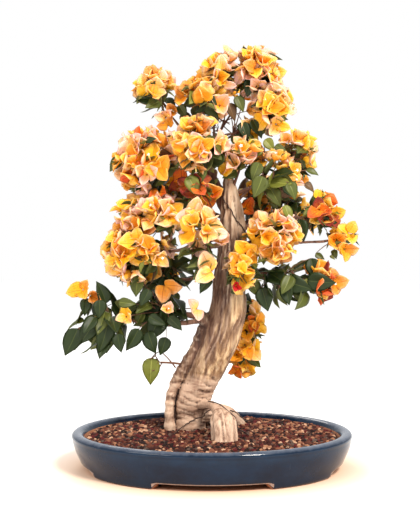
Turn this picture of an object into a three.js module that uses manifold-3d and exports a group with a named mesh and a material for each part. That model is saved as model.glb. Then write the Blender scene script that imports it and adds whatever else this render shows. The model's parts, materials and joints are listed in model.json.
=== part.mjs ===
// A bougainvillea bonsai in an oval glazed pot, at its real size.
// Units are millimetres, +Z is up, the plant's front looks along -Y, and the pot's feet stand on Z = 0.
// Limbs are tapered lofts. Each mass of foliage grows from one stem by a seeded rule, as twigs with
// leaves and three-bract blossoms fused on, and keeps to an egg-shaped space of its own.

import * as THREE from "three";
import { mergeVertices } from "three/addons/utils/BufferGeometryUtils.js";
import Module from "manifold-3d";

const wasm = await Module();
wasm.setup();

// Driving dimensions

const CLEARANCE = 0.3; // between two pieces that touch on the living plant

const POT = {
  length: 380,
  width: 296,
  height: 50,
  lip: 14, // width of the rounded rim
  floor: 10, // height of the floor inside
  foot: 5, // height of the foot ring under the body
  footReach: 160, // half the length over the foot ring
  footWidth: 11,
  segments: 32,
};
const ARCH = { front: 150, side: 108, height: 4.8, slope: 4 }; // openings between the four feet
const SOIL = { crown: 48, edge: 45, plateau: 118 }; // top in the middle, top at the wall, flat half length
const LUMPS = { apart: 26, deep: 1.8 }; // humps and hollows of the soil's top

const LEAF = { length: 38, width: 30, stalk: 9, fold: 0.16, belly: 0.42 };
const BRACT = { length: 38, width: 34, core: 3.4, fold: 0.1, belly: 0.5, flare: 1 }; // flare from the axis
const TWIG = { stem: 2.4, tip: 1.5, hold: 0.46 };
const STEM_SIDES = 5;
const BOUGH_SIDES = 5;
const SPACE_GAP = 0.06; // how much nearer a point must be to its own mass than to any other
const OVERHANG = 1.3; // the depth to which blades stand out of their mass, where 1 is its edge
const TRIES = 8; // attitudes tried for each shoot or leaf
const BLADE_ROOM = 42; // a space with a smaller half size has smaller blades
const SPARE_ENDS = 10; // places tried for each shoot
const FREE_FROM = 4; // beyond this from its root a shoot or leaf touches nothing else
const SIDE_LEAVES = 0.25; // share of flowering shoots with a leaf part of the way along

// The trunk leans right from its flared foot, stands up and tapers to a pruned top.
const TRUNK_PATH = [
  { at: [-31, 32, 40], radius: 22 },
  { at: [-29, 30, 70], radius: 21 },
  { at: [-25, 28, 88], radius: 21 },
  { at: [-18, 25, 108], radius: 22 },
  { at: [-7, 20, 135], radius: 24 },
  { at: [8, 16, 167], radius: 26 },
  { at: [19, 14, 204], radius: 25 },
  { at: [23, 13, 240], radius: 23 },
  { at: [26, 12, 278], radius: 22 },
  { at: [28, 10, 308], radius: 20 },
  { at: [27, 8, 333], radius: 18 },
  { at: [25, 5, 357], radius: 14 },
  { at: [22, 2, 389], radius: 8 },
];
// A slimmer stem rises beside the trunk's left flank and joins it.
const SIDE_STEM_PATH = [
  { at: [-56, 14, 40], radius: 10 },
  { at: [-58, 14, 72], radius: 8 },
  { at: [-56, 14, 93], radius: 8 },
  { at: [-48, 14, 115], radius: 9 },
  { at: [-39, 14, 132], radius: 9 },
  { at: [-22, 14, 158], radius: 10 },
  { at: [-12, 14, 181], radius: 11 },
  { at: [2, 14, 205], radius: 11 },
];
const STUB_PATH = [
  { at: [6, 12, 188], radius: 12 },
  { at: [-10, 9, 199], radius: 10 },
  { at: [-20, 6, 207], radius: 8 },
];
// Surface roots that leave the foot of the trunk and go into the soil.
const ROOT_PATHS = [
  [
    { at: [-18, 18, 82], radius: 10 },
    { at: [1, -6, 84], radius: 8 },
    { at: [10, -27, 77], radius: 12 },
    { at: [14, -42, 66], radius: 18 },
    { at: [17, -54, 40], radius: 19 },
  ],
  [
    { at: [-14, 24, 70], radius: 13 },
    { at: [18, 36, 66], radius: 12 },
    { at: [42, 66, 40], radius: 11 },
  ],
  [
    { at: [-36, 34, 62], radius: 16 },
    { at: [-50, 57, 50], radius: 13 },
    { at: [-60, 74, 38], radius: 11 },
  ],
  [
    { at: [-28, 38, 62], radius: 16 },
    { at: [-14, 62, 50], radius: 13 },
    { at: [-8, 80, 38], radius: 11 },
  ],
];
// The live leader leaves the trunk under its pruned top and carries the crown.
const LEADER_PATH = [
  { at: [24, 8, 345], radius: 11 },
  { at: [10, 22, 372], radius: 9.5 },
  { at: [-2, 25, 396], radius: 8 },
  { at: [-5, 20, 420], radius: 7 },
  { at: [5, 14, 447], radius: 5.5 },
];

// Each mass of foliage: the middle and half sizes of its space, the share of its shoots that flower,
// how many shoots it has, and the limb, place on the limb (0 foot, 1 tip) and thickness of its bough.
// rise is how far the bough bows upward.
const MASSES = [
  {
    name: "crown_top", centre: [60, 2, 533], reach: [40, 46, 40], bloom: 0.95, shoots: 11,
    limb: "leader", at: 0.96, thick: 3.6, rise: 4,
  },
  {
    name: "crown_crest", centre: [11, 0, 530], reach: [34, 42, 36], bloom: 0.95, shoots: 9,
    limb: "leader", at: 0.9, thick: 3.2, rise: 4,
  },
  {
    name: "crown_right", centre: [80, -5, 484], reach: [33, 46, 44], bloom: 0.9, shoots: 10,
    limb: "leader", at: 0.84, thick: 3.2, rise: 6,
  },
  {
    name: "crown_left", centre: [-14, -8, 500], reach: [36, 44, 34], bloom: 0.95, shoots: 10,
    limb: "leader", at: 0.72, thick: 3.2, rise: 4,
  },
  {
    name: "crown_heart", centre: [36, 10, 456], reach: [34, 36, 34], bloom: 0.2, shoots: 5,
    limb: "leader", at: 1, thick: 2.6, rise: 0,
  },
  {
    name: "high_left", centre: [-76, 5, 507], reach: [34, 36, 40], bloom: 0.75, shoots: 8,
    limb: "leader", at: 0.58, thick: 3.2, rise: -4,
  },
  {
    name: "upper_left", centre: [-82, -5, 413], reach: [56, 54, 52], bloom: 0.95, shoots: 14,
    limb: "leader", at: 0.44, thick: 4.2, rise: 6,
  },
  {
    name: "upper_centre", centre: [-16, -34, 432], reach: [44, 48, 44], bloom: 0.9, shoots: 11,
    limb: "leader", at: 0.55, thick: 3.4, rise: 4,
  },
  {
    name: "upper_middle", centre: [41, -14, 414], reach: [36, 42, 36], bloom: 0.9, shoots: 8,
    limb: "trunk", at: 0.97, thick: 3, rise: 0,
  },
  {
    name: "right_leaves", centre: [82, -8, 390], reach: [40, 44, 46], bloom: 0.15, shoots: 8,
    limb: "trunk", at: 0.93, thick: 3.6, rise: 5,
  },
  {
    name: "right_upper", centre: [116, 10, 425], reach: [32, 40, 38], bloom: 0.9, shoots: 9,
    limb: "trunk", at: 0.89, thick: 3.8, rise: 10,
  },
  {
    name: "behind_right", centre: [57, 46, 364], reach: [34, 36, 38], bloom: 0.95, shoots: 6,
    limb: "trunk", at: 0.84, thick: 3.4, rise: 2,
  },
  {
    name: "mid_left", centre: [-78, -12, 340], reach: [60, 52, 36], bloom: 0.95, shoots: 12,
    limb: "trunk", at: 0.79, thick: 8, rise: 12,
  },
  {
    name: "fork_front", centre: [-18, -24, 376], reach: [34, 36, 30], bloom: 0.6, shoots: 5,
    limb: "leader", at: 0.25, thick: 2.6, rise: 0,
  },
  {
    name: "low_mid_left", centre: [-97, -12, 290], reach: [54, 52, 48], bloom: 0.95, shoots: 14,
    limb: "trunk", at: 0.73, thick: 5, rise: 10,
  },
  {
    name: "centre_front", centre: [-12, -58, 303], reach: [38, 40, 55], bloom: 0.55, shoots: 9,
    limb: "trunk", at: 0.76, thick: 4, rise: 6,
  },
  {
    name: "right_middle", centre: [80, -30, 312], reach: [42, 45, 42], bloom: 0.92, shoots: 11,
    limb: "trunk", at: 0.74, thick: 4.4, rise: 6,
  },
  {
    name: "right_outer", centre: [146, 4, 344], reach: [32, 38, 34], bloom: 0.5, shoots: 7,
    limb: "trunk", at: 0.8, thick: 5, rise: 12,
  },
  {
    name: "right_tip", centre: [174, 0, 308], reach: [28, 34, 30], bloom: 0.7, shoots: 6,
    limb: "trunk", at: 0.8, thick: 3.4, rise: 2,
  },
  {
    name: "right_low", centre: [106, -12, 252], reach: [70, 48, 42], bloom: 0.14, shoots: 10,
    limb: "trunk", at: 0.64, thick: 5, rise: 8,
  },
  {
    name: "front_right", centre: [38, -44, 268], reach: [30, 32, 36], bloom: 0.9, shoots: 5,
    limb: "trunk", at: 0.68, thick: 2.6, rise: 0,
  },
  {
    name: "low_left_inner", centre: [-74, 4, 211], reach: [60, 48, 44], bloom: 0.14, shoots: 9,
    limb: "stub", at: 0.8, thick: 6, rise: 4,
  },
  {
    name: "low_left_outer", centre: [-148, -8, 200], reach: [53, 50, 56], bloom: 0.12, shoots: 9,
    limb: "stub", at: 0.5, thick: 5, rise: -12,
  },
  {
    name: "low_shoot", centre: [-79, 4, 142], reach: [24, 26, 42], bloom: 0, shoots: 4,
    limb: "side_stem", at: 0.62, thick: 1.8, rise: -2,
  },
  {
    name: "hanging_behind", centre: [47, 60, 172], reach: [33, 34, 66], bloom: 0.95, shoots: 9,
    limb: "trunk", at: 0.58, thick: 4, rise: 14,
  },
  {
    name: "back_top", centre: [20, 72, 486], reach: [54, 46, 56], bloom: 0.8, shoots: 7,
    limb: "leader", at: 0.66, thick: 3.6, rise: 6,
  },
  {
    name: "back_left", centre: [-74, 84, 372], reach: [60, 54, 64], bloom: 0.8, shoots: 8,
    limb: "trunk", at: 0.83, thick: 4.6, rise: 8,
  },
  {
    name: "back_right", centre: [102, 82, 352], reach: [58, 54, 64], bloom: 0.7, shoots: 8,
    limb: "trunk", at: 0.77, thick: 4.6, rise: 8,
  },
  {
    name: "back_low_left", centre: [-70, 84, 252], reach: [56, 50, 48], bloom: 0.35, shoots: 6,
    limb: "trunk", at: 0.6, thick: 4.4, rise: 8,
  },
];

const FINISH = {
  glaze: { color: 0x2f3f54, roughness: 0.22, metalness: 0 },
  soil: { color: 0x6b4433, roughness: 0.95, metalness: 0 },
  bark: { color: 0xb8946e, roughness: 0.85, metalness: 0 },
  bracts: { color: 0xf2a13c, roughness: 0.6, metalness: 0 },
  leaves: { color: 0x3c5a2c, roughness: 0.5, metalness: 0 },
};

// Small tools

const UP = new THREE.Vector3(0, 0, 1);
const vector = (a) => new THREE.Vector3(...a);

/** Repeatable random numbers from 0 to 1. */
function seeded(seed) {
  let state = seed >>> 0;
  return () => {
    state = (state + 0x6d2b79f5) >>> 0;
    let mixed = Math.imul(state ^ (state >>> 15), state | 1);
    mixed ^= mixed + Math.imul(mixed ^ (mixed >>> 7), mixed | 61);
    return ((mixed ^ (mixed >>> 14)) >>> 0) / 4294967296;
  };
}

/** A closed three.js geometry as a solid that can be joined and cut. */
function solidOf(geometry) {
  const bare = new THREE.BufferGeometry().setAttribute("position", geometry.getAttribute("position").clone());
  bare.setIndex(geometry.index);
  const merged = mergeVertices(bare, 1e-3);
  const mesh = new wasm.Mesh({
    numProp: 3,
    vertProperties: merged.getAttribute("position").array,
    triVerts: new Uint32Array(merged.index.array),
  });
  return new wasm.Manifold(mesh);
}

/** A solid as a three.js geometry. */
function geometryOf(solid) {
  const mesh = solid.getMesh();
  const geometry = new THREE.BufferGeometry();
  geometry.setAttribute("position", new THREE.BufferAttribute(new Float32Array(mesh.vertProperties), 3));
  geometry.setIndex(new THREE.BufferAttribute(new Uint32Array(mesh.triVerts), 1));
  geometry.computeVertexNormals();
  return geometry;
}

const joined = (solids) => wasm.Manifold.union(solids);

/** The largest body of a solid, with loose scraps and sealed hollows left out. */
function mainBody(solid) {
  return solid.decompose().reduce((best, body) => (body.volume() > best.volume() ? body : best));
}

/** A geometry from corner points and triangles. */
function facets(points, triangles) {
  const geometry = new THREE.BufferGeometry().setFromPoints(points);
  geometry.setIndex(triangles.flat());
  return geometry;
}

// Limbs

/** Points and radii at even steps along a smooth line through a path's places. */
function stationsOf(path, steps) {
  const curve = new THREE.CatmullRomCurve3(path.map((p) => vector(p.at)), false, "centripetal");
  return Array.from({ length: steps + 1 }, (_, i) => {
    const place = (i / steps) * (path.length - 1);
    const low = Math.min(Math.floor(place), path.length - 2);
    const radius = THREE.MathUtils.lerp(path[low].radius, path[low + 1].radius, place - low);
    return { point: curve.getPoint(i / steps), radius };
  });
}

/** A closed tapering tube through stations; swell(angle, along) shapes its section. */
function loft(stations, sides, swell = () => 1) {
  const points = [];
  const triangles = [];
  let across = new THREE.Vector3(1, 0, 0);
  const last = stations.length - 1;
  stations.forEach(({ point, radius }, i) => {
    const along = stations[Math.min(i + 1, last)].point.clone().sub(stations[Math.max(i - 1, 0)].point).normalize();
    if (i === 0 && Math.abs(along.x) > 0.9) across.set(0, 1, 0);
    across = across.clone().addScaledVector(along, -across.dot(along)).normalize();
    const over = along.clone().cross(across);
    for (let k = 0; k < sides; k++) {
      const angle = (2 * Math.PI * k) / sides;
      const r = radius * swell(angle, i / last);
      const rim = point.clone().addScaledVector(across, r * Math.cos(angle));
      points.push(rim.addScaledVector(over, r * Math.sin(angle)));
    }
  });
  const corner = (i, k) => i * sides + (k % sides);
  for (let i = 0; i < last; i++) {
    for (let k = 0; k < sides; k++) {
      triangles.push([corner(i, k), corner(i, k + 1), corner(i + 1, k + 1)]);
      triangles.push([corner(i, k), corner(i + 1, k + 1), corner(i + 1, k)]);
    }
  }
  for (let k = 1; k < sides - 1; k++) {
    triangles.push([corner(0, 0), corner(0, k + 1), corner(0, k)]);
    triangles.push([corner(last, 0), corner(last, k), corner(last, k + 1)]);
  }
  return facets(points, triangles);
}

const grown = (stations, by) => stations.map(({ point, radius }) => ({ point, radius: radius + by }));

/** A limb's station at a share of its length. */
function stationAt(stations, share) {
  return stations[Math.round(share * (stations.length - 1))];
}

/** Everything below the ground line, to cut the trunk and roots off flat. */
function belowGround() {
  const depth = 80;
  const box = new THREE.BoxGeometry(POT.length, POT.width, depth);
  box.translate(0, 0, SOIL.crown + CLEARANCE - depth / 2);
  return solidOf(box);
}

const fluted = (angle) => 1 + 0.05 * Math.cos(3 * angle + 0.6) + 0.03 * Math.cos(5 * angle + 2);
const ridged = (angle) => 1 + 0.05 * Math.cos(4 * angle);

/** Trunk, side stem, stub and surface roots as one body; by makes it fatter all round. */
function trunkSolid(lines, by = 0) {
  const parts = [
    solidOf(loft(grown(lines.trunk, by), 12, fluted)),
    solidOf(loft(grown(lines.side_stem, by), 6)),
    solidOf(loft(grown(lines.stub, by), 7)),
    ...lines.roots.map((root) => solidOf(loft(grown(root, by), 8, ridged))),
  ];
  return mainBody(joined(parts).subtract(belowGround()));
}

// Pot and soil

/** Turns a half section round the upright axis and squeezes it to the pot's oval. */
function ovalLathe(section) {
  const lathe = new THREE.LatheGeometry(section.map((p) => new THREE.Vector2(...p)), POT.segments);
  lathe.rotateX(Math.PI / 2);
  lathe.scale(1, POT.width / POT.length, 1);
  return solidOf(lathe);
}

/** The half section of the pot's inside, from the floor's middle to the rim. */
function insideSection(gap) {
  const reach = POT.length / 2;
  return [
    [0, POT.floor + gap],
    [reach - 31 - gap, POT.floor + gap],
    [reach - 25 - gap, POT.floor + 5 + gap],
    [reach - 18 - gap, POT.height - 10],
    [reach - 16 - gap, POT.height - 3],
  ];
}

/** A long opening with sloped ends, through the foot ring. */
function archCut(span, through) {
  const half = span / 2;
  const shape = new THREE.Shape();
  shape.moveTo(-half, -1);
  shape.lineTo(half, -1);
  shape.lineTo(half - ARCH.slope * 0.3, ARCH.height * 0.6);
  shape.quadraticCurveTo(half - ARCH.slope * 0.6, ARCH.height, half - ARCH.slope * 2, ARCH.height);
  shape.lineTo(-half + ARCH.slope * 2, ARCH.height);
  shape.quadraticCurveTo(-half + ARCH.slope * 0.6, ARCH.height, -half + ARCH.slope * 0.3, ARCH.height * 0.6);
  shape.closePath();
  const bar = new THREE.ExtrudeGeometry(shape, { depth: through, bevelEnabled: false, curveSegments: 3 });
  bar.translate(0, 0, -through / 2);
  bar.rotateX(Math.PI / 2);
  return bar;
}

/** The pot: a rounded lip, a bowed wall, and a foot ring that four openings leave as four feet. */
function potSolid() {
  const reach = POT.length / 2;
  const section = [
    [0, POT.foot],
    [POT.footReach - POT.footWidth, POT.foot],
    [POT.footReach - POT.footWidth + 1, 0],
    [POT.footReach, 0],
    [POT.footReach + 5, POT.foot],
    [reach - 14, 14],
    [reach - 6, 25],
    [reach - 1.5, 36],
    [reach, 42],
    [reach - 2, POT.height - 3],
    [reach - 7, POT.height],
    [reach - POT.lip + 1, POT.height],
    ...insideSection(0).reverse(),
  ];
  const front = solidOf(archCut(ARCH.front, POT.width * 1.2));
  const side = solidOf(archCut(ARCH.side, POT.length * 1.2).rotateZ(Math.PI / 2));
  return ovalLathe(section).subtract(front).subtract(side);
}

/** All that is under the soil's rough top: humps and hollows by turns, level round the feet of the wood. */
function underRoughTop(feet) {
  const pitch = [LUMPS.apart, LUMPS.apart * 0.87];
  const [columns, rows] = [Math.ceil(POT.length / pitch[0]), Math.ceil(POT.width / pitch[1])];
  const block = new THREE.BoxGeometry(columns * pitch[0], rows * pitch[1], 2, columns, rows, 1);
  const places = block.getAttribute("position");
  const slope = (SOIL.crown - SOIL.edge) / (POT.length / 2 - 18.8 - SOIL.plateau);
  for (let i = 0; i < places.count; i++) {
    if (places.getZ(i) < 0) continue;
    const column = Math.round(places.getX(i) / pitch[0] + columns / 2);
    const row = Math.round(places.getY(i) / pitch[1] + rows / 2);
    const x = places.getX(i) + (row % 2 ? pitch[0] / 2 : 0);
    const y = places.getY(i);
    const out = Math.hypot(x, (y * POT.length) / POT.width) - SOIL.plateau;
    const level = feet.some(({ point, radius }) => Math.hypot(x - point.x, y - point.y) < radius + pitch[0] / 2);
    const dip = level ? 0 : ((column + 2 * row) % 3) / 2;
    places.setX(i, x);
    places.setZ(i, SOIL.crown - slope * Math.max(out, 0) - LUMPS.deep * dip);
  }
  return solidOf(block);
}

/** The soil that fills the pot, a little higher in the middle and rough on top. */
function soilSolid(lines) {
  const edge = POT.length / 2 - 18.8;
  const filling = ovalLathe([
    ...insideSection(CLEARANCE * 1.5).slice(0, 3),
    [edge, SOIL.edge - 6],
    [edge, SOIL.crown + 1],
    [0, SOIL.crown + 1],
  ]);
  const feet = [lines.trunk[0], lines.side_stem[0], ...lines.roots.map((root) => root.at(-1))];
  return filling.intersect(underRoughTop(feet));
}

// Foliage

/** How deep a place lies in a mass's space: under 1 is inside. */
function depthIn(mass, point) {
  const [x, y, z] = mass.centre;
  const [a, b, c] = mass.reach;
  return ((point.x - x) / a) ** 2 + ((point.y - y) / b) ** 2 + ((point.z - z) / c) ** 2;
}

/** True where a place is in a mass's own space, up to its overhang, and nearer to it than to any other. */
function ownSpace(mass, point) {
  const own = depthIn(mass, point);
  return own < OVERHANG && MASSES.every((other) => other === mass || own + SPACE_GAP < depthIn(other, point));
}

/** The outline of a leaf or bract from its base: right edge, tip and left edge. */
function outline(base, direction, normal, form, size) {
  const along = direction.clone().normalize();
  const left = normal.clone().cross(along).normalize();
  const face = along.clone().cross(left);
  const middle = base.clone().addScaledVector(along, size * form.length * form.belly);
  middle.addScaledVector(face, size * form.width * form.fold);
  return {
    face,
    right: middle.clone().addScaledVector(left, (-size * form.width) / 2),
    tip: base.clone().addScaledVector(along, size * form.length),
    left: middle.clone().addScaledVector(left, (size * form.width) / 2),
  };
}

/** Three corners round a place on a twig; the third lies towards normal. */
function twigRing(place, heading, normal, radius) {
  const up = normal.clone().addScaledVector(heading, -normal.dot(heading)).normalize();
  return [-2, 0, 2].map((k) =>
    place.clone().addScaledVector(up.clone().applyAxisAngle(heading, ((k + 4) * Math.PI) / 3), radius),
  );
}

/** A three-sided twig as one body with what stands on its end: a blossom of three bracts or a leaf. */
function shoot(bud, end, axis, normal, flowers, size, skip = 0) {
  const heading = end.clone().sub(bud.point).normalize();
  const start = bud.point.clone().addScaledVector(heading, skip);
  const points = [...twigRing(start, heading, normal, bud.hold), ...twigRing(end, heading, normal, TWIG.tip)];
  const triangles = [[0, 2, 1]];
  for (let k = 0; k < 3; k++) {
    const next = (k + 1) % 3;
    triangles.push([k, next, 3 + next], [k, 3 + next, 3 + k]);
  }
  const corners = [];
  const addBlade = ({ right, tip, left }, crest, first, second) => {
    const at = points.push(right, tip, left) - 3;
    const rim = [first, at, at + 1, at + 2, second];
    for (let j = 0; j < 4; j++) triangles.push([crest, rim[j], rim[j + 1]]);
    triangles.push([first, at + 1, at], [first, at + 2, at + 1], [first, second, at + 2]);
    corners.push(right, tip, left);
  };
  if (flowers) {
    const crest = points.push(end.clone().addScaledVector(axis, BRACT.core)) - 1;
    for (let k = 0; k < 3; k++) {
      const next = (k + 1) % 3;
      const radial = points[3 + k].clone().add(points[3 + next]).multiplyScalar(0.5).sub(end).normalize();
      const direction = axis.clone().multiplyScalar(Math.cos(BRACT.flare));
      direction.addScaledVector(radial, Math.sin(BRACT.flare));
      const facing = axis.clone().addScaledVector(radial, -1);
      addBlade(outline(end, direction, facing, BRACT, size), crest, 3 + k, 3 + next);
    }
  } else {
    addBlade(outline(end, axis, normal, LEAF, size), 5, 3, 4);
  }
  return { geometry: facets(points, triangles), corners };
}

/** Shoot ends spread evenly through a mass by golden spirals, first those far out, then fillers. */
function shootEnds(mass, random) {
  const golden = Math.PI * (3 - Math.sqrt(5));
  const inner = mass.reach.map((r) => Math.max(r - BRACT.length * 0.5, r * 0.4));
  return Array.from({ length: mass.shoots * SPARE_ENDS }, (_, i) => {
    const layer = Math.floor(i / mass.shoots);
    const height = 1 - (2 * (i % mass.shoots) + 1) / mass.shoots;
    const ring = Math.sqrt(1 - height * height);
    const angle = golden * i + mass.centre[0];
    const share = (layer ? 0.55 : 0.8) + (layer ? 0.45 : 0.2) * random();
    const offset = [ring * Math.cos(angle), ring * Math.sin(angle), height].map((u, k) => u * inner[k] * share);
    return { layer, point: vector(mass.centre).add(vector(offset)) };
  });
}

/** Grows one mass from its stem: each shoot starts at the nearest bud and ends in a blossom or a leaf. */
function growMass(mass, root, limbs, seed) {
  const random = seeded(seed);
  const centre = vector(mass.centre);
  const fits = (point) => ownSpace(mass, point);
  const heart = root.point.clone().lerp(centre, 0.8);
  const roomy = THREE.MathUtils.clamp(Math.min(...mass.reach) / BLADE_ROOM, 0.7, 1);
  const stem = [
    { point: root.point, radius: root.radius },
    { point: heart, radius: TWIG.stem },
  ];
  const grownPieces = [solidOf(loft(stem, STEM_SIDES))];
  // A bud is a place to grow from; hold is the radius of a root that stays inside the wood there.
  const buds = [0.4, 0.7, 0.95].map((t) => ({ point: root.point.clone().lerp(heart, t), hold: TWIG.stem * 0.6 }));

  // Tries a few attitudes and keeps the first that fits and touches nothing but the twig it grows from.
  const grow = (attempt) => {
    for (let go = 0; go < TRIES; go++) {
      const form = attempt(roomy * (1 - 0.05 * go));
      if (!form(0).corners.every(fits)) continue;
      const free = solidOf(form(FREE_FROM).geometry);
      if ([limbs, ...grownPieces].some((piece) => !free.intersect(piece).isEmpty())) continue;
      grownPieces.push(solidOf(form(0).geometry));
      return true;
    }
    return false;
  };
  const jitter = (amount) => new THREE.Vector3(random() - 0.5, random() - 0.5, random() - 0.5).multiplyScalar(amount);

  // The shoots that stand farthest out and highest flower; those near the stem only have leaves.
  const distance = (end) => end.point.distanceTo(root.point);
  const rank = (end) => distance(end) + 0.7 * (end.point.z - mass.centre[2]);
  const ends = shootEnds(mass, random).sort((a, b) => a.layer - b.layer || distance(a) - distance(b));
  const ranks = ends.map(rank).sort((a, b) => b - a);
  const flowering = ranks[Math.min(Math.floor(ranks.length * mass.bloom), ranks.length - 1)];
  let count = 0;
  for (const candidate of ends) {
    if (count === mass.shoots) break;
    const end = candidate.point;
    const bud = buds.reduce((a, b) => (b.point.distanceTo(end) < a.point.distanceTo(end) ? b : a));
    const along = (t) => bud.point.clone().lerp(end, t);
    if (![0.4, 0.7, 1].map(along).every(fits)) continue;
    const heading = end.clone().sub(bud.point).normalize();
    const outward = end.clone().sub(centre).normalize();
    const flowers = mass.bloom > 0 && rank(candidate) >= flowering;
    const grew = grow((size) => {
      const turn = flowers ? jitter(2) : UP.clone().addScaledVector(outward, 0.5);
      const bend = outward.clone().addScaledVector(UP, flowers ? 0.2 : -0.5 * random()).add(jitter(0.8));
      const axis = heading.clone().addScaledVector(bend, 0.7).normalize();
      return (skip) => shoot(bud, end, axis, turn, flowers, size, skip);
    });
    if (!grew) continue;
    count += 1;
    const hold = (t) => TWIG.hold * THREE.MathUtils.lerp(bud.hold, TWIG.tip, t);
    [0.35, 0.6].forEach((t) => buds.push({ point: along(t), hold: hold(t) }));
    const leaves = flowers ? SIDE_LEAVES : 2;
    for (let n = 0; n < leaves; n++) {
      if (random() > leaves - n) break;
      const place = 0.5 + 0.25 * n;
      const node = { point: along(place), hold: hold(place) };
      const sideways = heading.clone().cross(UP).normalize().multiplyScalar(n === 0 ? 1 : -1);
      grow((size) => {
        const aim = sideways.clone().addScaledVector(outward, 0.5).add(jitter(1)).normalize();
        const stalk = node.point.clone().addScaledVector(aim, LEAF.stalk);
        const axis = aim.clone().addScaledVector(UP, -0.7 * random()).normalize();
        return (skip) => shoot(node, stalk, axis, UP.clone().addScaledVector(outward, 0.5), false, size, skip);
      });
    }
  }
  return joined(grownPieces);
}

/** The tapering limb from its parent limb to the edge of a mass's space. */
function boughStations(mass, parent) {
  const start = stationAt(parent, mass.at).point;
  const centre = vector(mass.centre);
  const inside = Math.sqrt(depthIn(mass, start));
  const tip = centre.clone().lerp(start, Math.min(0.78 / inside, 1));
  const bow = start.clone().lerp(tip, 0.5).addScaledVector(UP, mass.rise);
  const curve = new THREE.QuadraticBezierCurve3(start, bow, tip);
  const steps = Math.max(3, Math.round(start.distanceTo(tip) / 22));
  return curve.getPoints(steps).map((point, i) => ({
    point,
    radius: THREE.MathUtils.lerp(mass.thick, Math.max(mass.thick * 0.55, TWIG.stem * 0.8), i / steps),
  }));
}

// The whole plant

const lines = {
  trunk: stationsOf(TRUNK_PATH, 18),
  side_stem: stationsOf(SIDE_STEM_PATH, 10),
  stub: stationsOf(STUB_PATH, 4),
  roots: ROOT_PATHS.map((path) => stationsOf(path, 5)),
  leader: stationsOf(LEADER_PATH, 8),
};

const plant = new THREE.Group();

/** Adds a named piece with its finish. */
function add(name, solid, finish) {
  const mesh = new THREE.Mesh(geometryOf(solid), new THREE.MeshStandardMaterial(FINISH[finish]));
  mesh.name = name;
  plant.add(mesh);
}

add("pot", potSolid(), "glaze");
add("soil", soilSolid(lines), "soil");
add("trunk", trunkSolid(lines), "bark");

let occupied = trunkSolid(lines, CLEARANCE); // limbs so far, each fatter by the clearance
const addLimb = (name, stations) => {
  add(name, mainBody(solidOf(loft(stations, BOUGH_SIDES)).subtract(occupied)), "bark");
  occupied = occupied.add(solidOf(loft(grown(stations, CLEARANCE), BOUGH_SIDES)));
};
addLimb("leader", lines.leader);

// A mass that is nearer to its limb than this has no bough: its stem stands on the limb itself.
const SHORTEST_BOUGH = 24;
const boughs = MASSES.map((mass) => boughStations(mass, lines[mass.limb]));
const lengthOf = (stations) => stations[0].point.distanceTo(stations.at(-1).point);
const hasBough = (mass, i) => lengthOf(boughs[i]) - stationAt(lines[mass.limb], mass.at).radius > SHORTEST_BOUGH;
MASSES.forEach((mass, i) => {
  if (hasBough(mass, i)) addLimb(`bough_${mass.name}`, boughs[i]);
});

MASSES.forEach((mass, i) => {
  const [before, end] = boughs[i].slice(-2);
  const inward = end.point.clone().sub(before.point).normalize();
  const root = hasBough(mass, i)
    ? { point: end.point.clone().addScaledVector(inward, CLEARANCE), radius: end.radius * 0.9 }
    : { point: boughs[i][0].point, radius: mass.thick };
  const solid = growMass(mass, root, occupied, i + 11);
  add(`mass_${mass.name}`, mainBody(solid.subtract(occupied)), mass.bloom > 0.5 ? "bracts" : "leaves");
});

// The origin is on the floor under the middle of the plant's own box.
const middle = new THREE.Box3().setFromObject(plant).getCenter(new THREE.Vector3());
plant.position.set(-middle.x, -middle.y, 0);

const bonsai = new THREE.Group();
bonsai.name = "bougainvillea_bonsai";
bonsai.add(plant);

export default bonsai;
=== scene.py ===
"""Dresses a bougainvillea bonsai in a low oval glazed pot.

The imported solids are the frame. The pot, the soil, the trunk, the boughs and each mass of foliage
are replaced by finer meshes that keep to the same sizes. Tables are in millimetres.
"""

from __future__ import annotations

import json
import logging
import math
import random
from dataclasses import dataclass, field
from enum import Enum
from functools import partial
from typing import Callable, Iterable, Sequence

import bpy
import numpy as np
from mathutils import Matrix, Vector, noise
from mathutils.bvhtree import BVHTree

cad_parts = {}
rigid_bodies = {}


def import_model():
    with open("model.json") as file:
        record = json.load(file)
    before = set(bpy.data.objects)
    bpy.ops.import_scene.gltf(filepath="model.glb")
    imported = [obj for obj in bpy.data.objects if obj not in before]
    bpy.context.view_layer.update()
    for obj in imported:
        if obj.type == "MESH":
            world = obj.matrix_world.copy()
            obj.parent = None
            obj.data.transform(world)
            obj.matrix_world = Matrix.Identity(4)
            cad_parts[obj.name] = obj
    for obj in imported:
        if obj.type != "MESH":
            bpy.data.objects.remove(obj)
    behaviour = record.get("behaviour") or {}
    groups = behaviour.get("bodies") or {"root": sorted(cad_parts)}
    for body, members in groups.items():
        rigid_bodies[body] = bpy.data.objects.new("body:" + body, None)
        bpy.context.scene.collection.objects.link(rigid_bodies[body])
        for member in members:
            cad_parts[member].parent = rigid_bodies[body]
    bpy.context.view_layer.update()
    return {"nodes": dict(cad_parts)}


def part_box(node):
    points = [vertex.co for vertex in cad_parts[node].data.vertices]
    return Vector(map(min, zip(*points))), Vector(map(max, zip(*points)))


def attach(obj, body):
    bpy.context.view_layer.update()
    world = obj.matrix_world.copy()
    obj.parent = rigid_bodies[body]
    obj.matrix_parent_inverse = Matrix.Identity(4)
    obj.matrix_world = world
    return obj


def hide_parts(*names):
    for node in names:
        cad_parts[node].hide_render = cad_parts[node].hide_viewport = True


LOG = logging.getLogger("bonsai")
MM = 0.001
BODY = "root"
UP = np.array([0.0, 0.0, 1.0])
GOLDEN_ANGLE = math.pi * (3.0 - math.sqrt(5.0))

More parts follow.
